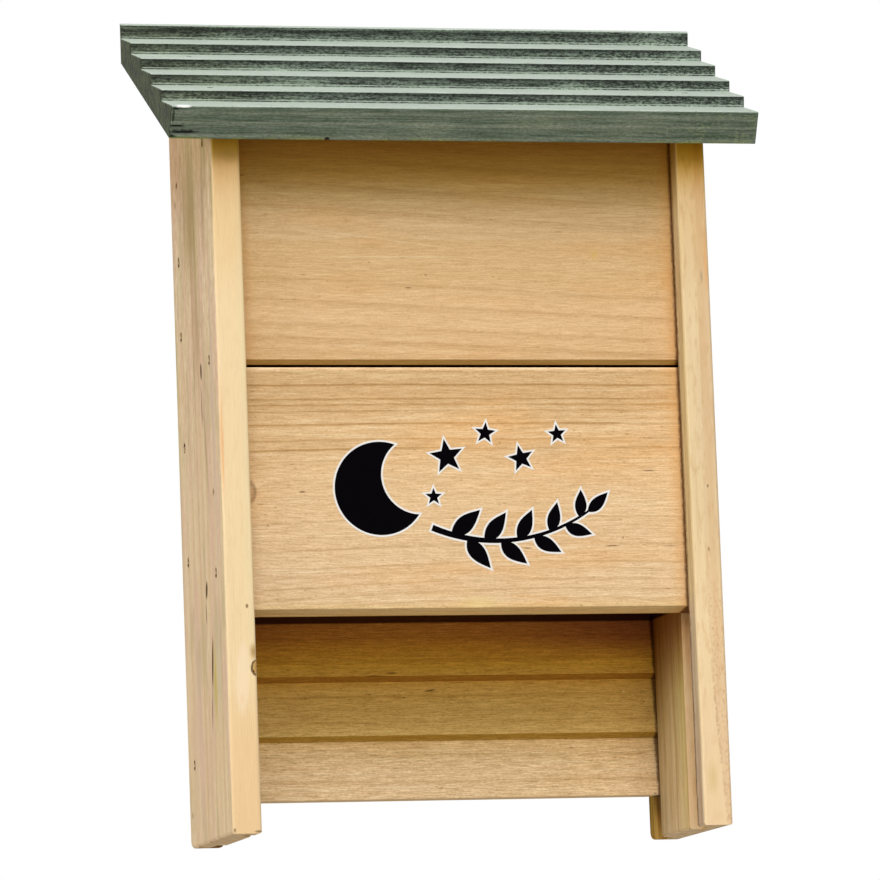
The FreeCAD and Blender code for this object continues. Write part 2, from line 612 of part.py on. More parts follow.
make_side("left_side", -1)
make_side("right_side", 1)
make_front_lower()
make_front_upper()
make_back_plank("back_plank_lower", "back_start", BACK_HEIGHT, BACK_LOWER_NAILS)
make_back_plank("back_plank_middle", BACK_MIDDLE_START, BACK_HEIGHT, BACK_MIDDLE_NAILS)
upper_plank = make_back_plank("back_plank_upper", BACK_UPPER_START, BACK_UPPER_HEIGHT, BACK_UPPER_NAILS)
drill_for_hanger(upper_plank)
make_roof()
make_side_nails("front_nails", FRONT_ROW_DEPTH, FRONT_ROW)
make_side_nails("back_nails", BACK_ROW_DEPTH, BACK_ROW)
make_roof_nails()
make_hanger()
make_screws()
doc.recompute()

# Nothing is written unless every object is sound.
for thing in doc.Objects:
    if {"Invalid", "Error"} & set(thing.State):
        raise RuntimeError(f"{thing.Name} failed: {thing.State}")
nodes = [thing for thing in doc.Objects
         if thing.isDerivedFrom("PartDesign::Body") or thing.TypeId == "Part::Feature"]
for node in nodes:
    if node.Shape.isNull() or not node.Shape.isValid():
        raise RuntimeError(f"{node.Label} has no valid shape")

os.makedirs("parts", exist_ok=True)
for node in nodes:
    node.Shape.exportStep(os.path.join("parts", f"{node.Label}.step"))
    box = node.Shape.BoundBox
    print(f"{node.Label}: {len(node.Shape.Solids)} solids, {node.Shape.Volume / 1000:.2f} cm3,"
          f" x {box.XMin:.2f} {box.XMax:.2f}, y {box.YMin:.2f} {box.YMax:.2f},"
          f" z {box.ZMin:.2f} {box.ZMax:.2f}")
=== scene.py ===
import math

import bpy
from mathutils import Matrix, Vector
from mathutils.geometry import delaunay_2d_cdt


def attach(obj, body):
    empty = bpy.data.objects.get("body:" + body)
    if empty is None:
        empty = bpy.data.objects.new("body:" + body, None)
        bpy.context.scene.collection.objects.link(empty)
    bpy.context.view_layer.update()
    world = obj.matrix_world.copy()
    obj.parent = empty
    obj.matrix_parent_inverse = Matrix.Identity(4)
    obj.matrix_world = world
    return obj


# How the bat box looks: grained softwood boards with knots and checks, a green stained roof,
# nails, a wall hanger and a printed motif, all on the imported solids.
# Frame: metres, +Z up, +Y towards the wall, +X to the right of someone who faces the box.
# Lengths inside materials are in millimetres.

MM = 0.001
BODY = "root"

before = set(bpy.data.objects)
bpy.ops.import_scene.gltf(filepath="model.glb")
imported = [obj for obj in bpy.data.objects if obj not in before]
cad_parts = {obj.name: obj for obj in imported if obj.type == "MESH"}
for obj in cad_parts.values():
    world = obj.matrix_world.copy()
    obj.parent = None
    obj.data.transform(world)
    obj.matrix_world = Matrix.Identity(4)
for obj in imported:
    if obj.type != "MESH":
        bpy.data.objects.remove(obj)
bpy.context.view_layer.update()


# Node trees written as formulas.

FIRST_COLOUR, SECOND_COLOUR, MIXED_COLOUR = 6, 7, 2
BROWNING = (0.85, 1.1, 1.5)


class Wire:
    """A number that runs through a node tree, with ordinary arithmetic."""

    def __init__(self, tree, socket):
        self.tree = tree
        self.socket = socket

    def __add__(self, other):
        return self.tree.calc("ADD", self, other)

    def __sub__(self, other):
        return self.tree.calc("SUBTRACT", self, other)

    def __mul__(self, other):
        return self.tree.calc("MULTIPLY", self, other)

    def __truediv__(self, other):
        return self.tree.calc("DIVIDE", self, other)

    def __rsub__(self, other):
        return self.tree.calc("SUBTRACT", other, self)

    def __pow__(self, other):
        return self.tree.calc("POWER", self, other)

    __radd__ = __add__
    __rmul__ = __mul__

    def size(self):
        return self.tree.calc("ABSOLUTE", self)

    def highest(self, other):
        return self.tree.calc("MAXIMUM", self, other)

    def kept(self):
        """The number held between 0 and 1."""
        return self.tree.calc("ADD", self, 0.0, clamp=True)


def linear(code):
    """A colour written as six hex digits, as the renderer's linear red, green, blue and alpha."""
    def channel(part):
        share = int(part, 16) / 255
        return share / 12.92 if share <= 0.04045 else ((share + 0.055) / 1.055) ** 2.4
    return [channel(code[n:n + 2]) for n in (0, 2, 4)] + [1.0]


class Tree:
    """The nodes of one material, with the place on the box in millimetres and the way the face points."""

    def __init__(self, name):
        self.material = bpy.data.materials.new(name)
        self.material.use_nodes = True
        self.nodes = self.material.node_tree.nodes
        self.links = self.material.node_tree.links
        self.shader = self.nodes["Principled BSDF"]
        place = self.nodes.new("ShaderNodeTexCoord")
        self.x, self.y, self.z = [part * (1 / MM) for part in self.split(place.outputs["Object"])]
        self.parts = (self.x, self.y, self.z)
        self.face_x, self.face_y, self.face_z = self.faces = self.split(place.outputs["Normal"])

    def split(self, socket):
        node = self.nodes.new("ShaderNodeSeparateXYZ")
        self.links.new(socket, node.inputs[0])
        return [Wire(self, output) for output in node.outputs]

    def joined(self, parts):
        node = self.nodes.new("ShaderNodeCombineXYZ")
        for socket, part in zip(node.inputs, parts):
            self.feed(socket, part)
        return Wire(self, node.outputs[0])

    def feed(self, socket, value):
        if isinstance(value, Wire):
            self.links.new(value.socket, socket)
        else:
            socket.default_value = value

    def calc(self, operation, *values, clamp=False):
        node = self.nodes.new("ShaderNodeMath")
        node.operation = operation
        node.use_clamp = clamp
        for socket, value in zip(node.inputs, values):
            self.feed(socket, value)
        return Wire(self, node.outputs[0])

    def rise(self, value, low, high):
        """0 up to low and 1 from high on, with a smooth step between. It falls where low is above high."""
        node = self.nodes.new("ShaderNodeMapRange")
        node.interpolation_type = "SMOOTHSTEP"
        for socket, number in zip(node.inputs, (value, low, high)):
            self.feed(socket, number)
        return Wire(self, node.outputs[0])

    def noise(self, parts, lengths, detail=2.0, roughness=0.5, seed=0.0):
        """Noise from 0 to 1 whose blots are about as long as lengths along each part."""
        point = self.joined([part / length + seed for part, length in zip(parts, lengths)])
        node = self.nodes.new("ShaderNodeTexNoise")
        self.links.new(point.socket, node.inputs["Vector"])
        node.inputs["Scale"].default_value = 1.0
        node.inputs["Detail"].default_value = detail
        node.inputs["Roughness"].default_value = roughness
        return Wire(self, node.outputs[0])

    def blots(self, *shape):
        """Noise over the place on the box."""
        return self.noise(self.parts, *shape)

    def ramp(self, value, stops):
        """A colour looked up between stops of (value, red, green, blue), in rising order."""
        low, high = stops[0][0], stops[-1][0]
        node = self.nodes.new("ShaderNodeValToRGB")
        self.feed(node.inputs[0], (value - low) / (high - low))
        elements = node.color_ramp.elements
        while len(elements) < len(stops):
            elements.new(1.0)
        for element, (at, *parts) in zip(elements, stops):
            element.position = (at - low) / (high - low)
            element.color = parts + [1.0]
        return Wire(self, node.outputs[0])

    def ladder(self, value, stops):
        """A number looked up between stops of (value, result), in rising order."""
        return self.ramp(value, [(at, result, result, result) for at, result in stops])

    def wash(self, colour, value, stops):
        """The colour times factors from 0 to 2, looked up between stops of (value, red, green, blue)."""
        halves = self.ramp(value, [(at, red / 2, green / 2, blue / 2) for at, red, green, blue in stops])
        return self.times(self.shade(halves, 2.0), colour)

    def times(self, first, second):
        """Two wires multiplied channel by channel."""
        node = self.nodes.new("ShaderNodeVectorMath")
        node.operation = "MULTIPLY"
        self.links.new(first.socket, node.inputs[0])
        self.links.new(second.socket, node.inputs[1])
        return Wire(self, node.outputs[0])

    def mix(self, share, first, second, blend="MIX"):
        """Two colours, as hex codes or wires, mixed by share."""
        node = self.nodes.new("ShaderNodeMix")
        node.data_type = "RGBA"
        node.blend_type = blend
        self.feed(node.inputs["Factor"], share)
        for number, colour in ((FIRST_COLOUR, first), (SECOND_COLOUR, second)):
            self.feed(node.inputs[number], linear(colour) if isinstance(colour, str) else colour)
        return Wire(self, node.outputs[MIXED_COLOUR])

    def shade(self, colour, amount):
        """The colour times a number."""
        node = self.nodes.new("ShaderNodeVectorMath")
        node.operation = "SCALE"
        self.links.new(colour.socket, node.inputs[0])
        self.feed(node.inputs["Scale"], amount)
        return Wire(self, node.outputs[0])

    def brown(self, colour, amount):
        """The colour times a number, which green and blue follow more than red, as in darker wood."""
        return self.times(self.joined([amount ** power for power in BROWNING]), colour)

    def finish(self, colour, roughness, height, depth, specular=0.16):
        """Connects the surface. Height runs from 0 to 1, and depth is its relief in millimetres."""
        self.links.new(colour.socket, self.shader.inputs["Base Color"])
        self.feed(self.shader.inputs["Roughness"], roughness)
        self.shader.inputs["Specular IOR Level"].default_value = specular
        bump = self.nodes.new("ShaderNodeBump")
        bump.inputs["Distance"].default_value = depth * MM
        self.links.new(height.socket, bump.inputs["Height"])
        self.links.new(bump.outputs[0], self.shader.inputs["Normal"])
        return self.material


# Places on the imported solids, in millimetres.

def edge(node, axis, pick):
    """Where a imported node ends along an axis. pick is min or max."""
    number = "XYZ".index(axis)
    return round(pick(vertex.co[number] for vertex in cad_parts[node].data.vertices) / MM, 2)


def lowest_point(node):
    points = [vertex.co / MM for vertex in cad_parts[node].data.vertices]
    return min(points, key=lambda point: point.z)


OUTER_FACE_X = edge("right_side", "X", max)
INNER_FACE_X = edge("right_side", "X", min)
FRONT_BOARDS_Y = edge("front_board_lower", "Y", min)
BACK_FACE_Y = edge("back_plank_lower", "Y", min)
ROOF_LIP_Y, ROOF_LIP_Z = [round(part, 1) for part in lowest_point("roof_board").yz]


# Shelter: part of the photo's deep, warm shadows is in the colours. Each pair runs from none to full.

UNDER_EAVES = (300, 354)
IN_FRONT_OF_BOARDS_Y = (FRONT_BOARDS_Y + 4, FRONT_BOARDS_Y + 1)
INSIDE_CHAMBER_Y = (-15, -11)
OFF_THE_WALL_Y = (44, 42)
UP_IN_CHAMBER = (62, 130)
ABOVE_LAST_STEP_Z = (104, 105.2)
# Tints of painted shade under the eaves and in the chamber, and of painted shadow above the last step.
EAVES_SHADE_TINT = "E4BC66"
CHAMBER_SHADE_TINT = "DDB45C"
LAST_STEP_SHADOW_TINT = "3E2826"


def between_sides(tree):
    """0 on the outer faces of the side boards and 1 between them."""
    return tree.rise(tree.x.size(), OUTER_FACE_X - 0.2, OUTER_FACE_X - 1.6)


def painted_eaves_shade(tree):
    """How far a place under the eaves is hidden from the sky, 0 to 1: the share of painted shade there."""
    front = tree.rise(tree.y, *IN_FRONT_OF_BOARDS_Y)
    return tree.rise(tree.z + (tree.y - ROOF_LIP_Y) * 1.2, *UNDER_EAVES) * between_sides(tree) * front


def chamber_side(tree):
    """1 in front of the middle of the back planks and 0 on their wall side."""
    return tree.rise(tree.y, *OFF_THE_WALL_Y)


def painted_chamber_shade(tree):
    """How far a place behind the front boards is hidden, 0 to 1: the share of painted shade there."""
    behind = tree.rise(tree.y, *INSIDE_CHAMBER_Y) * chamber_side(tree)
    return tree.rise(tree.z + (tree.y - FRONT_BOARDS_Y) * 0.5, *UP_IN_CHAMBER) * between_sides(tree) * behind


def with_painted_shade(tree, colour, painted_light_by_height):
    """The colour times the board's own factors by height, which are painted light and shade, and darker and
    warmer where it is hidden, which is painted shade.
    """
    if painted_light_by_height:
        colour = tree.mix(chamber_side(tree), colour, tree.wash(colour, tree.z, painted_light_by_height))
    colour = tree.mix(painted_eaves_shade(tree), colour, EAVES_SHADE_TINT, "MULTIPLY")
    hidden = painted_chamber_shade(tree)
    colour = tree.mix(hidden, colour, CHAMBER_SHADE_TINT, "MULTIPLY")
    # Painted shadow, almost black, everywhere in the chamber above the last visible step.
    return tree.mix(hidden * tree.rise(tree.z, *ABOVE_LAST_STEP_Z) * 0.9, colour, LAST_STEP_SHADOW_TINT, "MULTIPLY")


# Marks on a board. at and half are a mark's middle and half size, along and across it.

def stain(at, half, share, tone, core=0, ragged=0.8, tilt=0):
    """A mark of its own tone, full up to core of its size."""
    return dict(at=at, half=half, share=share, tone=tone, core=core, ragged=ragged, tilt=tilt, narrow=False)


def check(at, half, share, core=0.2, tilt=0):
    """A crack or pit in the board's darkest tone, which is a hollow too."""
    return stain(at, half, share, None, core, tilt=tilt)


def on_edge(marks):
    """The same marks on the board's narrow face, along and through the board."""
    return [dict(mark, narrow=True) for mark in marks]


def ellipse(u, v, half_u, half_v):
    """Distance from the middle of an ellipse, 1 at its rim."""
    u, v = u / half_u, v / half_v
    return (u * u + v * v) ** 0.5


def add_marks(tree, parts, faces, streak, marks, dark, colour, height):
    """The colour and the relief with the marks in them, whose rims follow the streaks."""
    along, across, through = parts
    for mark in marks:
        narrow, tone = mark["narrow"], mark["tone"]
        run = along - mark["at"][0]
        off = (through if narrow else across) - mark["at"][1]
        off = off - run * mark["tilt"] + (streak - 0.5) * mark["ragged"]
        share = tree.rise(ellipse(run, off, *mark["half"]), 1, mark["core"]) * mark["share"]
        share = share * tree.rise(faces[1 if narrow else 2].size(), 0.5, 0.8)
        colour = tree.mix(share, colour, dark if tone is None else tone)
        if tone is None:
            height = height - share * 0.3
    return colour, height


# Wood: each dark line of late wood is one value of a ring number that rises across the board.

STOPS_IN_A_LADDER = 30
STOPS_IN_A_LINE = 3
RING_LEAN = 0.8
WOOD_RELIEF = 0.28


def growth_rings(tree, parts, face, wander, seed, span, slope, bow):
    """The ring number. It rises across the board, leans through it from its face on, and wanders. Where span
    is given, slope and bow tilt and bend the rings along the board by their two values at its two ends."""
    along, across, through = parts
    ring = across
    if span:
        share = ((across - span[0]) / (span[1] - span[0])).kept()
        tilt = share * (slope[1] - slope[0]) + slope[0]
        bend = share * (bow[1] - bow[0]) + bow[0]
        ring = across - along * tilt - along * along * bend
    ring = ring + (through - face) * RING_LEAN
    ring = ring + (tree.noise(parts, (120, 45, 45), 1, 0.5, seed) - 0.5) * (2 * wander[0])
    return ring + (tree.noise(parts, (24, 8, 8), 2, 0.5, seed + 3.1) - 0.5) * (2 * wander[1])


def round_knots(tree, parts, ring, grit, knots):
    """The rings pushed aside by the knots, and how dark the knots are, or None where there are none."""
    along, across, _ = parts
    darkness = None
    for knot in knots:
        reach = ellipse(along - knot["at"][0], across - knot["at"][1], *knot["half"])
        ring = ring + tree.rise(reach, 4, 0.3) * knot["push"]
        rim = tree.rise(reach, 1.3, 1) - tree.rise(reach, 0.9, 0.5) * 0.65
        share = (rim * (grit * 0.7 + 0.65) * knot["dark"]).kept()
        darkness = share if darkness is None else darkness.highest(share)
    return ring, darkness


def ring_lines(tree, ring, lines, soft, sharp):
    """Late wood at each (ring, strength), which darkens over soft and ends within sharp."""
    total = None
    lines = sorted(lines)
    count = STOPS_IN_A_LADDER // STOPS_IN_A_LINE
    for first in range(0, len(lines), count):
        stops = []
        for at, strength in lines[first:first + count]:
            stops += [(at - soft, 0), (at, strength), (at + sharp, 0)]
        share = tree.ladder(ring, sorted(stops))
        total = share if total is None else total.highest(share)
    return total


def wood(name, grain, tones, *, lines, face, seed, fibre, fine, span=None, slope=(0, 0), bow=(0, 0),
         soft=2.6, sharp=0.6, wander=(1.2, 0.35), bands=(), cloudy=0.4, knots=(), marks=(), ends=(),
         end_grain=0.35, painted_light_by_height=(), layers=(), gloss=0.05):
    """One board. grain: its axes along, across and through. tones: early wood, late wood, warm areas, pale
    areas, marks. lines: (across, strength) on the face at mid length. bands: (across, darkness).
    ends: (along, reach, share), painted shade at the ends. levels: (height, red, green, blue), painted light
    and shade by height. layers: functions of tree and colour."""
    tree = Tree(name)
    parts = [tree.parts["XYZ".index(axis)] for axis in grain]
    faces = [tree.faces["XYZ".index(axis)] for axis in grain]
    along, _, through = parts
    early, late_tone, warm, pale, dark = tones

    grit = tree.noise(parts, (1.6, 0.6, 0.6), 2, 0.6, seed + 5)
    ring = growth_rings(tree, parts, face, wander, seed, span, slope, bow)
    ring, knot_share = round_knots(tree, parts, ring, grit, knots)
    late = ring_lines(tree, ring, lines, soft, sharp)
    fine_ring = tree.noise((ring, along, through), (1.1, 500, 500), 2, 0.6, seed + 7.7)
    streak = tree.noise(parts, (8, 0.5, 0.5), 3, 0.65, seed + 11)
    strand = tree.noise(parts, (60, 2.6, 2.6), 2, 0.55, seed + 13)
    cloud = tree.noise(parts, (70, 20, 20), 2, 0.5, seed + 17)
    fleck = tree.rise(tree.noise(parts, (2.6, 0.5, 0.5), 1, 0.5, seed + 19), 0.69, 0.8)

    colour = tree.mix((late + (fine_ring - 0.45) * fine).kept(), early, late_tone)
    if bands:
        colour = tree.mix(tree.ladder(ring, bands), colour, late_tone)
    colour = tree.mix(tree.rise(cloud, 0.47, 0.7) * cloudy, colour, warm)
    colour = tree.mix(tree.rise(strand, 0.5, 0.7) * cloudy, colour, pale)
    speckle = (streak - 0.5) * (2.4 * fibre) + (grit - 0.5) * (1.2 * fibre) - fleck * fibre
    colour = tree.brown(colour, 1 + speckle)
    # Warmer and darker towards the board's ends: painted shade beside the side boards.
    for at, reach, share in ends:
        rough = tree.noise(parts, (5, 4, 4), 3, 0.6, seed + 23) * (0.8 * reach) - 0.4 * reach
        colour = tree.mix(tree.rise(along + rough, at, at + reach) * share, colour, warm)
    end = faces[0].size() ** 4
    colour = tree.mix(end * (end_grain + (grit - 0.5) * 0.5), colour, dark)
    height = streak * 0.55 + late * 0.25 - fleck * 0.2

    for layer in layers:
        colour = layer(tree, colour)
    colour, height = add_marks(tree, parts, faces, streak, marks, dark, colour, height)
    if knot_share is not None:
        colour = tree.mix(knot_share, colour, dark)
    # Painted light and shade by height, and painted shade where the roof and the front boards hide the wood.
    colour = with_painted_shade(tree, colour, painted_light_by_height)
    return tree.finish(colour, 0.8 - late * 0.1 + (streak - 0.5) * 0.2, height, WOOD_RELIEF, gloss)


def dress(node, material):
    """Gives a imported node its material; its shape and place stay as they are."""
    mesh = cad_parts[node].data
    mesh.materials.clear()
    mesh.materials.append(material)


# The two front boards.

FRONT_TONES = ("E2BC8A", "B48A54", "DFA868", "ECCC9C", "5E3412")


def end_joint_shadow(tree, colour):
    """The line where a board's end meets the right side board is dark: painted shadow in the joint."""
    beads = tree.blots((1.2, 1.2, 3), 2, 0.6, 101)
    shadow = tree.rise(tree.x + (beads - 0.5) * 1.6, INNER_FACE_X - 1.8, INNER_FACE_X - 0.1)
    return tree.mix(shadow * 0.85, colour, "5E4018", "MULTIPLY")


def curly_ends(tree, colour):
    """The upper front board's grain is rough and curly at its two ends."""
    swing = (tree.blots((9, 9, 9)) - 0.5) * 9
    curl = tree.noise((tree.x, tree.y, tree.z + swing), (5, 5, 1.6), 3, 0.6, 111)
    share = tree.rise(tree.x.size(), 74, 102) * 0.8 + 0.1
    colour = tree.mix(tree.rise(curl, 0.52, 0.62) * share * 0.35, colour, "B88E44")
    return tree.brown(colour, 1 + share * (curl - 0.5) * 0.7)


def painted_foot_shade(tree, colour):
    """Painted shade on the upper front board's downward faces: the bevel below it golden brown and its
    underside almost black.
    """
    foot = tree.rise(tree.face_z, -0.3, -0.6)
    colour = tree.mix(foot, colour, "CFC69C", "MULTIPLY")
    return tree.mix(tree.rise(tree.face_z, -0.85, -0.97), colour, "50382C", "MULTIPLY")


dress("front_board_lower", wood(
    "pine_front_lower", "XZY", FRONT_TONES, face=FRONT_BOARDS_Y, seed=2,
    span=(104, 218), slope=(0.025, -0.002), bow=(-2.4e-4, 0), wander=(0.8, 0.3),
    soft=1.1, sharp=0.4, fibre=0.42, fine=0.6, layers=[end_joint_shadow],
    # Painted light by height: paler overall, with a painted highlight along the rounded top edge.
    painted_light_by_height=[(102, 1.1, 1.17, 0.97), (104.4, 1.05, 1.14, 1.12), (108, 1.03, 1.11, 1.24),
            (118, 1.05, 1.15, 1.34), (150, 1.02, 1.08, 1.18), (190, 1.09, 1.15, 1.24), (212, 0.97, 1, 1.03),
            (216.4, 0.98, 1.02, 1.05), (217.4, 1.2, 1.3, 1.55), (218.4, 1.3, 1.45, 1.75)],
    lines=[(216, 0.5), (210.2, 1), (203.6, 0.85), (200.9, 0.7), (198, 0.85), (192, 0.95), (184.7, 0.85),
           (180.4, 1), (175.2, 0.3), (166.6, 0.2), (147.2, 0.35), (139.5, 0.25), (134.3, 0.3), (126, 0.5),
           (122.6, 0.25), (117.6, 0.45), (113, 0.35), (108.4, 0.3)],
    bands=[(104, 0.1), (150, 0), (170, 0.05), (182, 0.3), (190, 0.2), (200, 0.35), (214, 0.2)],
    knots=[dict(at=(-105, 159.6), half=(3.6, 5), push=3.5, dark=0.45)],
    ends=[(-100, -10, 0.4), (98, 10, 0.75)],
    marks=[check((-79, 159.5), (2.6, 0.55), 0.85), check((89.4, 168.9), (4.8, 0.45), 0.7),
           check((28.6, 132.5), (3.4, 0.5), 0.7), check((21, 132.8), (8, 0.3), 0.35),
           check((69.9, 133.2), (5, 0.5), 0.8), check((98, 133), (5.5, 0.4), 0.6),
           check((-96, 143.7), (0.8, 0.8), 0.5), check((75.3, 137.1), (0.7, 0.7), 0.6),
           check((-77, 136.5), (0.9, 0.4), 0.4), stain((4, 107), (16, 5), 0.45, "EACB84")]))

dress("front_board_upper", wood(
    "pine_front_upper", "XZY", FRONT_TONES, face=FRONT_BOARDS_Y, seed=5,
    span=(222, 334), slope=(-0.042, -0.064), wander=(0.9, 0.3),
    soft=3.4, fibre=0.3, fine=0.4, cloudy=0.28, layers=[curly_ends, painted_foot_shade, end_joint_shadow],
    # Painted light and shade by height, darker from the middle up.
    painted_light_by_height=[(222, 0.97, 0.98, 1), (245, 0.97, 0.99, 1.04), (262, 0.9, 0.92, 0.9), (276, 0.89, 0.91, 0.9),
            (288, 0.94, 1.05, 1.2), (302, 0.79, 0.97, 1.05), (312, 0.8, 0.94, 0.78),
            (324, 0.84, 0.93, 1.04)],
    lines=[(322, 0.2), (314, 0.3), (301, 0.35), (290, 0.3), (256.5, 0.3), (246.5, 0.35), (236, 0.3),
           (228.8, 0.4), (223.5, 0.2)],
    bands=[(222, 0.1), (240, 0), (275, 0.05), (292, 0.25), (304, 0.35), (318, 0.3), (330, 0.4)],
    ends=[(-97, -12, 0.75), (97, 12, 0.8)],
    marks=[stain((-33, 278.6), (52, 0.55), 0.35, "F2D8AC", core=0.2, tilt=-0.13),
           stain((-32, 270.7), (50, 0.5), 0.6, "F2D8AC", core=0.2, tilt=0.004),
           check((-24.5, 256), (2.6, 0.5), 0.6), check((-75, 262), (2.2, 0.4), 0.45),
           check((-103, 309), (2, 0.4), 0.5), check((-43, 268), (0.8, 0.5), 0.5),
           check((-16, 262), (0.9, 0.5), 0.5), check((50, 283), (3, 0.4), 0.4),
           stain((67, 272), (3, 3.4), 0.5, "E2B860")]))


# The two side boards. side is -1 for the left one and 1 for the right one.

SIDE_TONES = ("EACFA6", "CCAA7C", "E2C0A0", "EEDCBA", "3E2812")
NAIL_HEAD_REACH = 0.1
NAIL_SPACING = 4
EAVES_Z = 322
FOOT_Z, FOOT_TOP_Z = 60, 95
STRIP_HALF_WIDTH = (2.6, 0.6)
FRONT_GROOVE_Y = (-26.5, -24.5)
GROOVE_SHADOW_Y = -26
FRONT_ARRIS_Y = (-34.4, -35.6)
REAR_LIP_Y = (45, 48)
REAR_LIP_X = (119, 117.5)
REAR_LIP_Z = (30, 22)
BORDER_X, BORDER_REACH = 109.5, 10
LOW_BORDER_Z = (118, 104)


def nail_places(node, side):
    """Height and depth, in millimetres, of the nail heads that a node shows on one outer face."""
    points = [vertex.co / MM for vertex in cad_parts[node].data.vertices]
    rim = max(side * point.x for point in points) - NAIL_HEAD_REACH
    heads = {}
    for point in points:
        if side * point.x > rim:
            heads.setdefault(round(point.z / NAIL_SPACING), []).append(point)
    return [(sum(point.z for point in group) / len(group), sum(point.y for point in group) / len(group))
            for group in heads.values()]


def bruises(side):
    """The crushed, darker wood round the nail heads of one side board."""
    places = [place for node in ("front_nails", "back_nails") for place in nail_places(node, side)]
    return ([stain(place, (3.4, 2.8), 0.35, "8A6038", ragged=1.2) for place in places]
            + [stain(place, (1.7, 1.9), 0.95, "30180A", core=0.7) for place in places])


def side_front_share(tree):
    """1 on the front edge of a side board."""
    return tree.rise(tree.face_y, -0.5, -0.85)


def painted_shade_on_side_under_eaves(tone, reach):
    """The front edge of a side board is deep amber right under the roof: painted shade."""
    def layer(tree, colour):
        share = tree.rise(tree.z, EAVES_Z - reach, EAVES_Z) * side_front_share(tree)
        return tree.mix(share, colour, tone, "MULTIPLY")
    return layer


def side_front_tone(low_tone, strip_tone, strip_x, blotches):
    """The front edge of a side board: cream, warmer towards the foot, with a strip of its own tone, and a
    little darker near the top, which is painted shade under the roof.
    """
    def layer(tree, colour):
        front = side_front_share(tree)
        cloud = tree.blots((14, 14, 90), 2, 0.5, 91)
        streak = tree.blots((0.7, 0.7, 30), 2, 0.55, 93)
        blotch = tree.blots((2.6, 2.6, 11), 2, 0.55, 94)
        colour = tree.mix(front * (0.45 + tree.rise(cloud, 0.35, 0.65) * 0.45), colour, "F2DAAB")
        colour = tree.mix(front * tree.rise(blotch, 0.5, 0.66) * blotches, colour, "DDB888")
        foot = tree.rise(tree.z + cloud * 30, FOOT_TOP_Z, FOOT_Z)
        colour = tree.mix(front * foot * 0.6, colour, low_tone)
        strip = tree.rise((tree.x - strip_x).size(), *STRIP_HALF_WIDTH) * front
        strip = strip * tree.rise(tree.z, FOOT_Z, FOOT_TOP_Z)
        colour = tree.mix(strip * 0.5, colour, strip_tone)
        colour = tree.shade(colour, 1 - front * (streak - 0.5) * 0.12)
        # Painted shade under the roof: a little darker from 240 mm up.
        return tree.mix(front * tree.rise(tree.z, 240, 290), colour, "F7F0E6", "MULTIPLY")
    return layer


# Factors of painted shade on the inner faces: on the front lip by height, in the chamber by height and
# depth.
FRONT_LIP_PAINTED_SHADE = [(0, 0.75, 0.73, 0.73), (104, 0.75, 0.75, 0.72), (112, 0.76, 0.8, 0.7),
                    (290, 0.78, 0.8, 0.68), (322, 0.57, 0.53, 0.3), (340, 0.5, 0.45, 0.25)]
CHAMBER_PAINTED_SHADE_BY_HEIGHT = [(0, 0.92, 0.9, 0.8), (25, 0.87, 0.85, 0.72), (66, 0.75, 0.75, 0.54),
                  (84, 0.62, 0.56, 0.42), (98, 0.52, 0.4, 0.37), (340, 0.5, 0.4, 0.35)]
CHAMBER_PAINTED_SHADE_BY_DEPTH = [(-25, 0.96, 0.82, 0.66), (-18, 0.95, 0.83, 0.61), (-12, 1.02, 1, 0.8),
                  (-6, 1.02, 1.02, 0.84), (4, 1.02, 1.01, 0.98), (12, 1.03, 1.01, 1.04),
                  (22, 0.96, 0.94, 0.92), (29, 0.84, 0.8, 0.74), (35, 0.72, 0.66, 0.58)]


def painted_groove_shadow(tree, colour):
    """The dark, uneven line at the joint of the front boards and their groove: painted shadow."""
    wobble = tree.blots((2.5, 2.5, 4), 2, 0.6, 98)
    crack = tree.rise((tree.y - (wobble - 0.5) * 5 - GROOVE_SHADOW_Y).size(), 2.2, 0.8)
    return tree.mix(crack * (0.45 + tree.rise(wobble, 0.45, 0.6) * 0.4), colour, "7E5630", "MULTIPLY")


def rear_lip_tone(tree, colour):
    """The low end of the lip behind the back planks is dark, in upright streaks."""
    lip = tree.rise(tree.y, *REAR_LIP_Y) * tree.rise(tree.x.size(), *REAR_LIP_X)
    lip = lip * tree.rise(tree.z, *REAR_LIP_Z) * tree.rise(tree.face_y, 0.8, 0.4)
    pole = tree.blots((3.4, 5, 60), 1, 0.5, 103)
    tone = tree.brown(tree.mix(1, colour, "FFF5AB", "MULTIPLY"), 0.2 + tree.rise(pole, 0.35, 0.65) * 0.56)
    return tree.mix(lip, colour, tone)


def side_inner_tone(side):
    """The inner face of a side board is browner, with painted shade on its front lip, deeper painted shade
    inside the chamber, and dark at the rear lip.
    """
    def layer(tree, colour):
        inner = tree.rise(tree.face_x * -side, 0.5, 0.85)
        streak = tree.blots((0.9, 0.9, 30), 3, 0.6, 95)
        strand = tree.blots((5, 5, 110), 2, 0.5, 96)
        colour = tree.brown(colour, 1 + inner * ((streak - 0.5) * 0.9 + (strand - 0.5) * 0.9))
        colour = tree.mix(inner * tree.rise(strand, 0.5, 0.62) * 0.25, colour, "D4C8B4")
        # Painted shade: the front lip darker, most under the roof, and the chamber darker by height and
        # depth.
        lip = tree.wash(colour, tree.z, FRONT_LIP_PAINTED_SHADE)
        chamber = tree.wash(tree.wash(colour, tree.z, CHAMBER_PAINTED_SHADE_BY_HEIGHT), tree.y, CHAMBER_PAINTED_SHADE_BY_DEPTH)
        darker = tree.mix(tree.rise(tree.y, *FRONT_GROOVE_Y), lip, chamber)
        darker = painted_groove_shadow(tree, darker)
        # A painted highlight, pale, along the rounded front arris.
        darker = tree.mix(tree.rise(tree.y, *FRONT_ARRIS_Y) * 0.4, darker, "F0DCA8")
        return rear_lip_tone(tree, tree.mix(inner, colour, darker))
    return layer


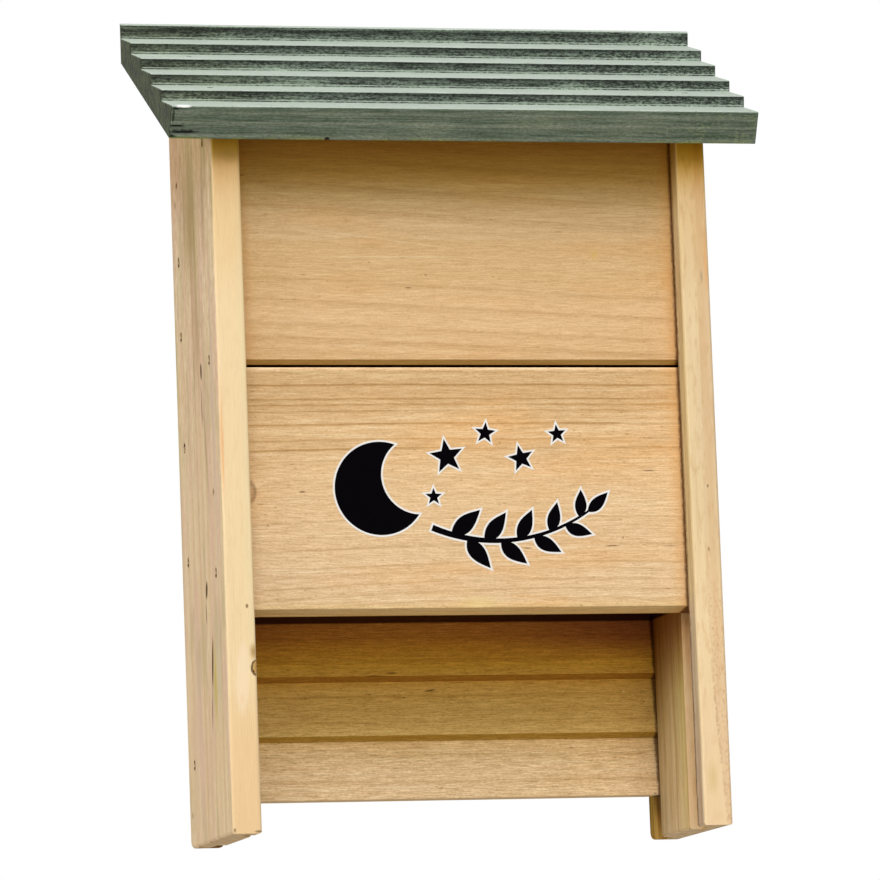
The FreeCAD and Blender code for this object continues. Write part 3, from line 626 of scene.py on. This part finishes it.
def side_foot_tone(tree, colour):
    """The lower end of a side board is end grain: browner, with dark smears."""
    foot = tree.rise(tree.face_z, -0.5, -0.85)
    smear = tree.blots((5, 2.4, 5), 3, 0.6, 115)
    return tree.brown(colour, 1 + foot * (0.08 - tree.rise(smear, 0.5, 0.64) * 0.4))


def side_outer_tone(tree, colour):
    """The outer face of a side board is mottled, more so higher up, and a little duller under the roof,
    which is painted shade.
    """
    outer = tree.rise(tree.x.size() + tree.face_x.size(), OUTER_FACE_X + 0.4, OUTER_FACE_X + 0.8)
    mottle = tree.blots((20, 3.4, 7), 3, 0.65, 104)
    rose = tree.blots((60, 18, 90), 2, 0.5, 106)
    olive = tree.blots((60, 14, 60), 2, 0.5, 108)
    strength = tree.rise(tree.z, 120, 290) * 0.6 + 0.25
    colour = tree.mix(outer * tree.rise(rose, 0.48, 0.62) * 0.5, colour, "E2BCA4")
    colour = tree.mix(outer * tree.rise(olive, 0.52, 0.66) * 0.45, colour, "C6B68A")
    colour = tree.brown(colour, 1 + outer * strength * (mottle - 0.5) * 0.9)
    # Painted shade of the roof's overhang near the top of the outer face.
    return tree.mix(outer * tree.rise(tree.z, 290, 325), colour, "F2EADA", "MULTIPLY")


BORDER_BY_HEIGHT = [(0, 0.8), (7, 0.78), (22, 0.66), (40, 0.55), (60, 0.42), (68, 0.38), (102, 0.26),
                    (112, 0.2), (200, 0.34), (300, 0.46), (340, 0.5)]
SCALLOPS_BY_HEIGHT = [(0, 0.2), (36, 0.25), (44, 0.35), (66, 0.35), (74, 0.15), (118, 0.1)]


def rough_border(tree, colour):
    """The right board's front edge has a rougher, darker strip beyond a wavering border."""
    wobble = tree.blots((3, 3, 3.6), 3, 0.6, 97)
    border = tree.ladder(tree.z, BORDER_BY_HEIGHT) * BORDER_REACH + BORDER_X
    past = tree.x - border + (wobble - 0.5) * 1.6
    front = side_front_share(tree)
    low = tree.rise(tree.z, *LOW_BORDER_Z)
    fleck = tree.rise(tree.blots((0.8, 0.8, 1.6), 2, 0.6, 99), 0.5, 0.7)
    colour = tree.mix(front * tree.rise(tree.z, 100, 150), colour, "F5F5F5", "MULTIPLY")
    strength = 0.12 + low * (0.05 + fleck * 0.36)
    colour = tree.mix(front * tree.rise(past, -0.3, 0.8) * strength, colour, "BE8A68")
    line = tree.rise(past.size(), 0.9, 0.15) * tree.rise(wobble, 0.36, 0.55)
    scallops = tree.ladder(tree.z, SCALLOPS_BY_HEIGHT)
    return tree.mix(front * line * low * scallops, colour, "A06A44")


LEFT_FACE_MARKS = [
    stain((300, -34.9), (30, 2), 0.6, "8A7838"), stain((294, 14), (48, 24), 0.75, "AE9460", ragged=9),
    stain((300, 26), (30, 2.6), 0.45, "9C7C50", ragged=4),
    stain((284, 6), (38, 3), 0.3, "94744A", ragged=4), stain((296, -15), (38, 6), 0.5, "A48A54", ragged=3),
    stain((245, 6), (50, 12), 0.55, "B29668", ragged=6),
    stain((320, -22), (30, 5), 0.5, "A89868", ragged=3),
    stain((240, 15), (60, 2.6), 0.35, "A88252", ragged=4),
    stain((180, -6), (38, 3.2), 0.55, "AA9462", ragged=2, tilt=0.13),
    stain((200, -24), (120, 6), 0.6, "DCC0B0", ragged=2),
    stain((200, 53), (170, 3.2), 0.55, "C4BA88", ragged=1.5),
    stain((60, 28), (60, 16), 0.45, "E0C2A8", ragged=4),
    stain((78, -18), (28, 9), 0.45, "CFC6A4", ragged=3), stain((72, -10.5), (30, 5), 0.85, "CCB860"),
    check((219.8, -0.5), (5, 1.9), 0.95, core=0.5), check((203, 0.2), (14, 1.4), 0.6),
    check((117, 2.5), (5.2, 2.6), 0.9, core=0.5, tilt=-0.17), check((106, 4.5), (7, 1.5), 0.6),
    check((82, -5.6), (14.5, 1.8), 0.95, core=0.5, tilt=-0.15),
    check((60, -2.2), (14, 1.5), 0.65, tilt=-0.12), check((307, 45.4), (2.4, 1.5), 0.6),
    check((15.2, 48.7), (2.4, 1.5), 0.6),
]
LEFT_EDGE_MARKS = [
    stain((105.1, -109.8), (1.4, 0.9), 0.8, "6A4A22", core=0.4),
    stain((84, -107.4), (5.5, 2.8), 0.8, "A88242"),
    stain((76.4, -106.5), (4, 2.6), 0.85, "4E2E0C", core=0.85, ragged=1.4),
    stain((76.6, -106.1), (3.3, 1.9), 0.92, "CEA664", core=0.8, ragged=1.4),
    stain((74.8, -107.6), (0.9, 0.7), 0.8, "4A2A0C", core=0.4, ragged=0.6),
    stain((72, -112.8), (20, 3.8), 0.85, "F6DFBA", core=0.6, ragged=1.6, tilt=0.05),
    stain((62, -113.4), (4, 1.4), 0.5, "F2CDA8", core=0.2), stain((180, -118.9), (36, 1), 0.7, "E4A468"),
    stain((0.9, -107.5), (0.9, 3), 0.7, "5E4222", core=0.2, ragged=2.4),
    stain((1.6, -118.9), (1.5, 0.9), 0.7, "5E4222", core=0.2),
    stain((316, -111), (5, 6.5), 0.35, "B49C64", ragged=3),
]
RIGHT_EDGE_MARKS = [
    stain((225, 114), (60, 1.1), 0.3, "C89C68", ragged=1.6),
    stain((150, 109), (40, 0.9), 0.3, "C8A068", ragged=1.6), stain((266, 118.2), (20, 1.3), 0.6, "E4A464"),
    stain((260, 116), (4.5, 1.2), 0.5, "9C8A74", ragged=1.6), check((160, 114.6), (1.2, 0.7), 0.6),
    check((130, 113.8), (1.4, 0.7), 0.5), stain((22, 111), (12, 4), 0.45, "D2B470"),
]


def dress_side(node, side, seed, marks, layers):
    dress(node, wood(
        f"pine_{node}", "ZYX", SIDE_TONES, face=side * OUTER_FACE_X, seed=seed, wander=(1.6, 0.4),
        soft=7, sharp=2, fibre=0.2, fine=0.18, cloudy=0.6, end_grain=0, gloss=0,
        lines=[(-30, 0.2), (-22, 0.35), (-13, 0.2), (-4, 0.35), (6, 0.35), (15, 0.5), (28, 0.3), (40, 0.3)],
        layers=layers + [side_inner_tone(side), side_outer_tone, side_foot_tone],
        marks=bruises(side) + marks))


dress_side("left_side", -1, 8, LEFT_FACE_MARKS + on_edge(LEFT_EDGE_MARKS),
           [side_front_tone("EAC592", "EBD8AC", -108, 0.12), painted_shade_on_side_under_eaves("E6E38E", 13)])
dress_side("right_side", 1, 31, on_edge(RIGHT_EDGE_MARKS),
           [side_front_tone("F0D3A8", "E6C494", 116, 0.48), rough_border, painted_shade_on_side_under_eaves("E9DE74", 25)])


# The three back planks.

BACK_TONES = ("E4C08C", "B88A50", "D8B076", "EBCE9E", "4A2C10")
BACK_PLANK_SEEDS = {"back_plank_lower": 40, "back_plank_middle": 43, "back_plank_upper": 46}


def painted_riser_shade(tree, colour):
    """Painted shade: the undersides of a back plank's steps are brown, darker higher up, and the upper
    corners of the chamber are darker.
    """
    step = tree.rise(tree.face_z, -0.2, -0.5) * tree.rise(tree.z, 24, 28)
    colour = tree.mix(step, colour, "D6CC98", "MULTIPLY")
    colour = tree.mix(step * tree.rise(tree.z, 60, 70), colour, "E2DAF6", "MULTIPLY")
    corner = tree.rise(tree.x, 0, 100) * 0.9 + tree.rise(tree.x, -60, -100) * 0.35
    corner = tree.rise(tree.z, 84, 97) * corner * chamber_side(tree)
    return tree.mix(corner, colour, "CCB6E8", "MULTIPLY")


for node, seed in BACK_PLANK_SEEDS.items():
    dress(node, wood(
        f"pine_{node}", "XZY", BACK_TONES, face=BACK_FACE_Y, seed=seed, fibre=0.6, fine=0.6,
        layers=[painted_riser_shade, end_joint_shadow],
        lines=[(30, 0.3), (44, 0.3), (58, 0.3), (72, 0.3), (88, 0.4), (100, 0.4)],
        # Painted light and shade by height: paler low down, darker and warmer at the lower step, brighter
        # higher up.
        painted_light_by_height=[(20, 1.08, 1.16, 1.32), (34, 1.09, 1.14, 1.24), (47, 1.05, 1.1, 1.06),
                (49.5, 0.9, 0.9, 0.6), (62, 0.93, 0.96, 0.64), (72, 1.18, 1.29, 0.9),
                (84, 1.28, 1.38, 0.74), (92, 1.2, 1.2, 0.88), (98, 1.1, 0.98, 1.1), (104, 1.05, 0.92, 1.2)],
        marks=[check((-5, 72.2), (4.4, 0.7), 0.8, tilt=0.12), check((-33, 78.4), (7.5, 1.6), 0.75),
               check((-24, 80.4), (4, 0.7), 0.6), check((103.6, 21), (1.3, 0.9), 0.5),
               stain((-92, 23), (8, 3), 0.6, "A08444"),
               stain((90.8, 70.4), (1, 0.6), 0.8, "FFF4D8", core=0.2)]))


# Roof: wood under a green-grey stain, worn pale on the treads and rough and dark on the risers, partly
# painted light and shade.

ROOF_SLOPE = math.radians(28.3)
ROOF_RELIEF = 0.6
FACE_ROWS = [(0, 0), (1.3, 0.45), (2.6, 0), (6.6, 0.1), (7.8, 0.5), (9, 0), (11.6, 0.1), (12.6, 0.4),
             (13.8, 0), (16, 0)]
# Pale lines along the risers: partly wear and partly painted highlight.
RISER_WEAR_AND_HIGHLIGHT = [(10.6, 1), (11.6, 0.75), (12.2, 0.3), (13.4, 0.3), (14.6, 0.12), (15.6, 0.05), (16.4, 0.2),
              (17.4, 0.4)]
ROOF_FRONT_MARKS = [
    stain((-139, 6.2), (5, 0.8), 1, "060904"),
    stain((-135.5, 3.4), (9.6, 1.1), 1, "060904"),
    stain((-141, 1.2), (3, 0.9), 1, "060904"),
    stain((-139.8, 14.6), (2.4, 0.9), 1, "0C100A"),
    stain((-140.8, 11), (0.9, 4.6), 0.8, "141A12"),
    stain((-136.2, 15.6), (4.6, 0.9), 0.9, "F4F8F4"),
    stain((-66.9, 0.4), (1.8, 1.2), 1, "10120C"),
]


class RoofTree(Tree):
    """The roof's nodes. up runs along its slope from the front edge, and out square to its underside."""

    def __init__(self, name):
        super().__init__(name)
        back, high = self.y - ROOF_LIP_Y, self.z - ROOF_LIP_Z
        self.up = back * math.cos(ROOF_SLOPE) + high * math.sin(ROOF_SLOPE)
        self.out = high * math.cos(ROOF_SLOPE) - back * math.sin(ROOF_SLOPE)
        self.streak = self.blots((22, 0.8, 0.8), 4, 0.65, 60)
        self.strand = self.blots((60, 2.5, 2.5), 2, 0.5, 63)
        self.cloud = self.blots((50, 14, 14), 2, 0.5, 66)
        self.speckle = self.blots((1.9, 0.75, 0.75), 2, 0.7, 69)
        self.patch = self.blots((16, 5, 5), 2, 0.6, 72)
        self.right = self.rise(self.x, 40, 110)

    def front_edge(self):
        """Sawn rows, a mossy lower arris and moss at the right."""
        colour = self.mix(self.rise(self.streak, 0.35, 0.68), "445440", "6D7A6C")
        colour = self.mix(self.rise(self.cloud, 0.45, 0.7) * 0.5, colour, "7C866F")
        rows = self.ladder(self.out + (self.strand - 0.5) * 1.6, FACE_ROWS)
        colour = self.mix(rows, colour, "929985")
        arris = self.rise(self.out, 1.6, 0.3) * self.rise(self.patch, 0.42, 0.58)
        colour = self.mix(arris * 0.7, colour, "7C8848")
        moss = self.rise(self.patch + (self.speckle - 0.5) * 0.8, 0.52, 0.66)
        colour = self.mix(self.rise(self.x, 70, 130) * moss * 0.22, colour, "8E9A66")
        return self.shade(colour, 1 + (self.speckle - 0.5) * 1.5)

    def risers(self):
        """Rough and almost black, partly painted shade, worn lighter towards their upper edges, partly a
        painted highlight, with olive at the left.
        """
        wear_and_highlight = self.ladder(self.out + (self.patch - 0.5) * 1.6 + (self.streak - 0.5) * 2.4, RISER_WEAR_AND_HIGHLIGHT)
        share = (wear_and_highlight + self.rise(self.cloud, 0.5, 0.7) * 0.12).kept()
        colour = self.mix(share, "161C16", "8A9A8A")
        colour = self.mix(self.rise(self.x, -60, -130) * 0.5, colour, "B6AE84", "MULTIPLY")
        rough = self.speckle * (0.5 + self.right * 0.25) + self.streak * (0.5 - self.right * 0.25)
        rough = (rough + (self.cloud - 0.5) * 0.12).kept()
        return self.shade(colour, 0.26 + self.rise(rough, 0.4, 0.64) * 2.2)

    def treads(self, below):
        """The colour below under the pale, streaky bloom of the treads: worn stain, and painted light on the
        faces that turn upwards.
        """
        colour = self.mix(0.93 - self.strand * 0.08, below, "C0CEC0")
        colour = self.mix(self.rise(self.patch, 0.5, 0.7) * 0.35, colour, "D2DCD2")
        pits = self.rise(self.speckle, 0.56, 0.72) * 0.45
        return self.shade(colour, 1 - pits + (self.streak - 0.5) * 0.6 - self.right * 0.06)

    def front_marks(self, colour):
        """Gouges and pale chips on the front edge."""
        for mark in ROOF_FRONT_MARKS:
            off = self.out - mark["at"][1] + (self.streak - 0.5) + (self.speckle - 0.5) * 1.2
            reach = ellipse(self.x - mark["at"][0], off, *mark["half"])
            share = self.rise(reach, 1, 0.4) * mark["share"]
            colour = self.mix(share * self.rise(self.up, 4, 3), colour, mark["tone"])
        return colour

    def ends(self):
        """End grain, dark with greener rays."""
        place = (self.x, self.up + self.out * 0.6, self.out - self.up * 0.6)
        ray = self.noise(place, (3, 9, 0.8), 3, 0.65, 75)
        colour = self.mix(self.rise(ray, 0.38, 0.62), "12170F", "545E3C")
        return self.shade(colour, 0.22 + self.speckle * 1.15)

    def dressed(self):
        colour = self.mix(self.rise(self.up, 3, 1), self.risers(), self.front_edge())
        # Faces that turn upwards take the pale treads: partly worn stain, partly painted light.
        tread = self.rise(self.face_z + (self.speckle - 0.5) * 0.4, 0.05, 0.45)
        colour = self.front_marks(self.mix(tread, colour, self.treads(colour)))
        end = self.rise(self.face_x.size(), 0.5, 0.85)
        colour = self.mix(end * 0.97, colour, self.ends())
        # Faces turned downwards, the roof's underside, are dark olive: painted shade.
        colour = self.mix(self.rise(self.face_z, -0.55, -0.75), colour, "3A4032")
        height = self.streak * 0.4 + self.speckle * 0.4 + self.strand * 0.2
        return self.finish(colour, 0.68 - tread * 0.1, height, ROOF_RELIEF, specular=0.2)


dress("roof_board", RoofTree("stained_roof_wood").dressed())


# Metal.

METAL_RELIEF = 0.04


def metal(name, dark, light, roughness, metallic=0.9, specular=0.16):
    tree = Tree(name)
    bloom = tree.blots((2.5, 2.5, 2.5), 3, 0.6, 70)
    grime = tree.blots((0.5, 0.5, 0.5), 2, 0.5, 72)
    colour = tree.mix(tree.rise(bloom, 0.35, 0.65), dark, light)
    tree.shader.inputs["Metallic"].default_value = metallic
    return tree.finish(colour, roughness + bloom * 0.2, grime, METAL_RELIEF, specular)


nail_steel = metal("nail_steel", "1C140E", "36291C", 0.7, metallic=0.3, specular=0.02)
for node in ("front_nails", "back_nails"):
    dress(node, nail_steel)
dress("roof_nails", metal("stained_steel", "8A968A", "B2BEB2", 0.7))
zinc = metal("zinc", "9A9FA3", "C9CDD0", 0.3)
for node in ("hanger_plate", "hanger_screws"):
    dress(node, zinc)


# The print on the lower front board: a moon, stars and a leafy twig, black with a thin white rim.

PRINT_THICKNESS = 0.06
PRINT_LIFT = 0.01
RIM = 0.9
LONGEST_MITRE = 2.2
BLUNTEST_CORNER = 0.05
CORNERS_OF_A_STAR = 10
STAR_WAIST = 0.42
CRESCENT_OPENING = 52
LEAF_STEPS = 16
LEAF_CURL = 0.12
LEAF_BELLY = 0.8
TWIG_MIDDLE, TWIG_RADIUS = (14, 216), 80
TWIG_START, TWIG_END = 247, 305
TWIG_BUTT, TWIG_TIP = 1.5, 0.5
TWIG_STEPS = 40
LEAF_COUNT = 9
FIRST_LEAF, LEAVES_REACH = 0.12, 0.8
LEAF_SPREADS = (48, -50)
LEAF_LENGTH, LEAF_SHORTENING, LEAF_WIDTH = 19, 6.5, 0.44
END_LEAF, END_LEAF_SIZE = 0.98, (13.5, 5.6)


def on_circle(middle, radius, degrees):
    angle = math.radians(degrees)
    return Vector((middle[0] + radius * math.cos(angle), middle[1] + radius * math.sin(angle)))


def along_arc(middle, radius, start, end, count):
    """Points on an arc, from one angle in degrees to another."""
    return [on_circle(middle, radius, start + (end - start) * step / count) for step in range(count + 1)]


def turned(point, angle):
    turn = math.radians(angle)
    return Vector((point.x * math.cos(turn) - point.y * math.sin(turn),
                   point.x * math.sin(turn) + point.y * math.cos(turn)))


def star(middle, reach, turn):
    """Five rays with the first one turned by an angle in degrees."""
    radii = (reach, reach * STAR_WAIST)
    return [on_circle(middle, radii[corner % 2], turn + 360 / CORNERS_OF_A_STAR * corner)
            for corner in range(CORNERS_OF_A_STAR)]


def crescent(middle, radius, bite, turn):
    """A disc with a smaller disc of radius bite taken out of one side, which faces the angle turn."""
    opening = math.radians(CRESCENT_OPENING)
    inner_half = math.asin(radius * math.sin(opening) / bite)
    inner_middle = radius * math.cos(opening) + bite * math.cos(inner_half)
    inner_degrees = math.degrees(inner_half)
    outer = along_arc((0, 0), radius, CRESCENT_OPENING, 360 - CRESCENT_OPENING, 60)
    inner = along_arc((inner_middle, 0), bite, 180 + inner_degrees, 180 - inner_degrees, 44)[1:-1]
    return [turned(point, turn) + Vector(middle) for point in outer + inner]


def leaf(root, angle, length, width):
    """A leaf that leaves its root along an angle in degrees, widest below its middle."""
    lower, upper = [], []
    for step in range(1, LEAF_STEPS):
        share = step / LEAF_STEPS
        half = width / 2 * math.sin(math.pi * share ** LEAF_BELLY)
        curl = LEAF_CURL * length * share * share
        lower.append(Vector((length * share, curl - half)))
        upper.append(Vector((length * share, curl + half)))
    outline = [Vector((0, 0))] + lower + [Vector((length, LEAF_CURL * length))] + upper[::-1]
    return [turned(point, angle) + Vector(root) for point in outline]


def twig_heading(share):
    return TWIG_START + (TWIG_END - TWIG_START) * share


def on_twig(share, off=0):
    """A place along the twig, 0 at its cut end and 1 at its tip, off its middle to the left."""
    return on_circle(TWIG_MIDDLE, TWIG_RADIUS - off, twig_heading(share))


def twig_outline():
    shares = [step / TWIG_STEPS for step in range(TWIG_STEPS + 1)]
    halves = [TWIG_BUTT + (TWIG_TIP - TWIG_BUTT) * share for share in shares]
    right = [on_twig(share, -half) for share, half in zip(shares, halves)]
    left = [on_twig(share, half) for share, half in zip(shares, halves)]
    return right + left[::-1]


def twig_leaves():
    """Leaves in turn on both sides, smaller towards the tip, and one at the end."""
    leaves = []
    for number in range(LEAF_COUNT):
        share = FIRST_LEAF + LEAVES_REACH * number / (LEAF_COUNT - 1)
        angle = twig_heading(share) + 90 + LEAF_SPREADS[number % 2]
        length = LEAF_LENGTH - LEAF_SHORTENING * share
        leaves.append(leaf(on_twig(share), angle, length, length * LEAF_WIDTH))
    return leaves + [leaf(on_twig(END_LEAF), TWIG_END + 90, *END_LEAF_SIZE)]


def grown(outline, margin):
    """The outline moved outwards by margin, with its sharpest corners cut short."""
    result = []
    for before, here, after in zip(outline[-1:] + outline[:-1], outline, outline[1:] + outline[:1]):
        first, second = (here - before).normalized(), (after - here).normalized()
        first, second = Vector((first.y, -first.x)), Vector((second.y, -second.x))
        mitre = (first + second) / max(1 + first.dot(second), BLUNTEST_CORNER)
        if mitre.length > LONGEST_MITRE:
            mitre = mitre.normalized() * LONGEST_MITRE
        result.append(here + mitre * margin)
    return result


def print_material(name, dark, light):
    """Ink: almost even, with the wood's grain faint in it."""
    tree = Tree(name)
    grain = tree.blots((9, 0.5, 0.5), 3, 0.6, 80)
    mottle = tree.blots((3, 3, 3), 2, 0.5, 83)
    colour = tree.mix((grain * 0.6 + mottle * 0.4 - 0.3).kept(), dark, light)
    return tree.finish(colour, 0.7 + grain * 0.15, grain, 0.05, specular=0.01)


def make_print():
    black = [crescent((-41.5, 161), 22, 18.5, 18), twig_outline(), *twig_leaves(),
             star((-9, 176), 8.4, 98), star((10, 187), 5.2, 84), star((27, 175), 6.4, 102),
             star((-16, 157), 4.2, 90), star((45, 186.5), 4.6, 95)]
    outlines = black + [grown(outline, RIM) for outline in black]
    corners, faces = [], []
    for outline in outlines:
        faces.append(list(range(len(corners), len(corners) + len(outline))))
        corners += outline
    points, _, triangles, _, _, sources = delaunay_2d_cdt(corners, [], faces, 1, 1e-5)
    mesh = bpy.data.meshes.new("printed_motif")
    y = FRONT_BOARDS_Y - PRINT_LIFT - PRINT_THICKNESS
    mesh.from_pydata([(point.x * MM, y * MM, point.y * MM) for point in points], [], triangles)
    mesh.materials.append(print_material("ink_black", "050407", "0C0A0E"))
    mesh.materials.append(print_material("ink_white", "E9E8E4", "F7F6F3"))
    for face, inside in zip(mesh.polygons, sources):
        face.material_index = 0 if min(inside) < len(black) else 1
    motif = bpy.data.objects.new("printed_motif", mesh)
    bpy.context.scene.collection.objects.link(motif)
    thickness = motif.modifiers.new("thickness", "SOLIDIFY")
    thickness.thickness = PRINT_THICKNESS * MM
    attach(motif, BODY)


make_print()


# Studio: a soft lamp above the front, two weaker ones, pale surroundings and a pale floor far below.

FLOOR_HEIGHT = -1.1
FLOOR_REACH = 30
BOX_MIDDLE = Vector((0, 0, 0.2))
WORLD_LIGHT = 0.34


def area_lamp(name, azimuth, elevation, distance, width, level, tone):
    """A square soft lamp. Azimuth 0 is in front of the box and 90 at its left. level is the light that it
    throws on a face turned towards it, where 1 shows a colour as it is written."""
    around, up = math.radians(azimuth), math.radians(elevation)
    towards = Vector((-math.sin(around) * math.cos(up), -math.cos(around) * math.cos(up), math.sin(up)))
    lamp = bpy.data.lights.new(name, "AREA")
    lamp.shape = "SQUARE"
    lamp.size = width
    lamp.energy = level * (math.pi * distance) ** 2
    lamp.color = linear(tone)[:3]
    holder = bpy.data.objects.new(name, lamp)
    holder.location = BOX_MIDDLE + towards * distance
    holder.rotation_euler = (-towards).to_track_quat("-Z", "Y").to_euler()
    bpy.context.scene.collection.objects.link(holder)


area_lamp("key_lamp", azimuth=8, elevation=47, distance=5, width=4.4, level=0.91, tone="FFFAF6")
area_lamp("front_lamp", azimuth=-5, elevation=2, distance=5, width=2.6, level=0.11, tone="FFFFFF")
area_lamp("left_lamp", azimuth=80, elevation=5, distance=5, width=3, level=0.36, tone="FFFFFF")


def seen_directly(nodes, links, path):
    """1 for rays that show a background: from the camera, off gloss or through glass."""
    seen = path.outputs["Is Camera Ray"]
    for kind in ("Is Glossy Ray", "Is Transmission Ray"):
        either = nodes.new("ShaderNodeMath")
        either.operation = "MAXIMUM"
        links.new(seen, either.inputs[0])
        links.new(path.outputs[kind], either.inputs[1])
        seen = either.outputs[0]
    return seen


def pale_world():
    """Even pale light on the box; the camera and glossy surfaces see plain white."""
    world = bpy.data.worlds.new("studio")
    bpy.context.scene.world = world
    world.use_nodes = True
    nodes, links = world.node_tree.nodes, world.node_tree.links
    nodes.clear()
    output = nodes.new("ShaderNodeOutputWorld")
    mixer = nodes.new("ShaderNodeMixShader")
    light = nodes.new("ShaderNodeBackground")
    light.inputs["Color"].default_value = linear("F4F7FF")
    light.inputs["Strength"].default_value = WORLD_LIGHT
    white = nodes.new("ShaderNodeBackground")
    white.inputs["Color"].default_value = (1, 1, 1, 1)
    path = nodes.new("ShaderNodeLightPath")
    links.new(seen_directly(nodes, links, path), mixer.inputs[0])
    links.new(light.outputs[0], mixer.inputs[1])
    links.new(white.outputs[0], mixer.inputs[2])
    links.new(mixer.outputs[0], output.inputs["Surface"])


pale_world()


def pale_floor():
    mesh = bpy.data.meshes.new("floor")
    corners = [(x * FLOOR_REACH, y * FLOOR_REACH, FLOOR_HEIGHT)
               for x, y in ((-1, -1), (1, -1), (1, 1), (-1, 1))]
    mesh.from_pydata(corners, [], [(0, 1, 2, 3)])
    floor = bpy.data.objects.new("floor", mesh)
    bpy.context.scene.collection.objects.link(floor)
    tree = Tree("pale_floor")
    cloud = tree.blots((400, 400, 400))
    path = tree.nodes.new("ShaderNodeLightPath")
    seen = Wire(tree, seen_directly(tree.nodes, tree.links, path))
    pale = tree.mix(cloud, "F2F2F0", "F6F6F5")
    mesh.materials.append(tree.finish(tree.mix(seen, "C8C2B8", pale), 0.9, cloud, 0.1))


pale_floor()


# Camera: it looks up at the box from its lower left, as the photograph does.

CAMERA_PLACE = Vector((-0.74955, -2.86222, -0.21171))
CAMERA_AZIMUTH = math.radians(14.574)
CAMERA_LIFT = math.radians(7.683)
CAMERA_ROLL = math.radians(-2.149)
FOCAL_PIXELS = 6312.2
FRAME_PIXELS = 880
SENSOR_WIDTH = 36


def place_camera():
    ahead = Vector((math.sin(CAMERA_AZIMUTH) * math.cos(CAMERA_LIFT),
                    math.cos(CAMERA_AZIMUTH) * math.cos(CAMERA_LIFT), math.sin(CAMERA_LIFT)))
    level = Vector((math.cos(CAMERA_AZIMUTH), -math.sin(CAMERA_AZIMUTH), 0))
    upright = level.cross(ahead)
    right = level * math.cos(CAMERA_ROLL) + upright * math.sin(CAMERA_ROLL)
    up = upright * math.cos(CAMERA_ROLL) - level * math.sin(CAMERA_ROLL)
    data = bpy.data.cameras.new("camera")
    data.sensor_width = SENSOR_WIDTH
    data.lens = FOCAL_PIXELS / FRAME_PIXELS * SENSOR_WIDTH
    data.clip_end = 100
    camera = bpy.data.objects.new("camera", data)
    turn = Matrix((right, up, -ahead)).transposed()
    camera.matrix_world = Matrix.Translation(CAMERA_PLACE) @ turn.to_4x4()
    bpy.context.scene.collection.objects.link(camera)
    bpy.context.scene.camera = camera


place_camera()
bpy.context.scene.view_settings.view_transform = "Standard"
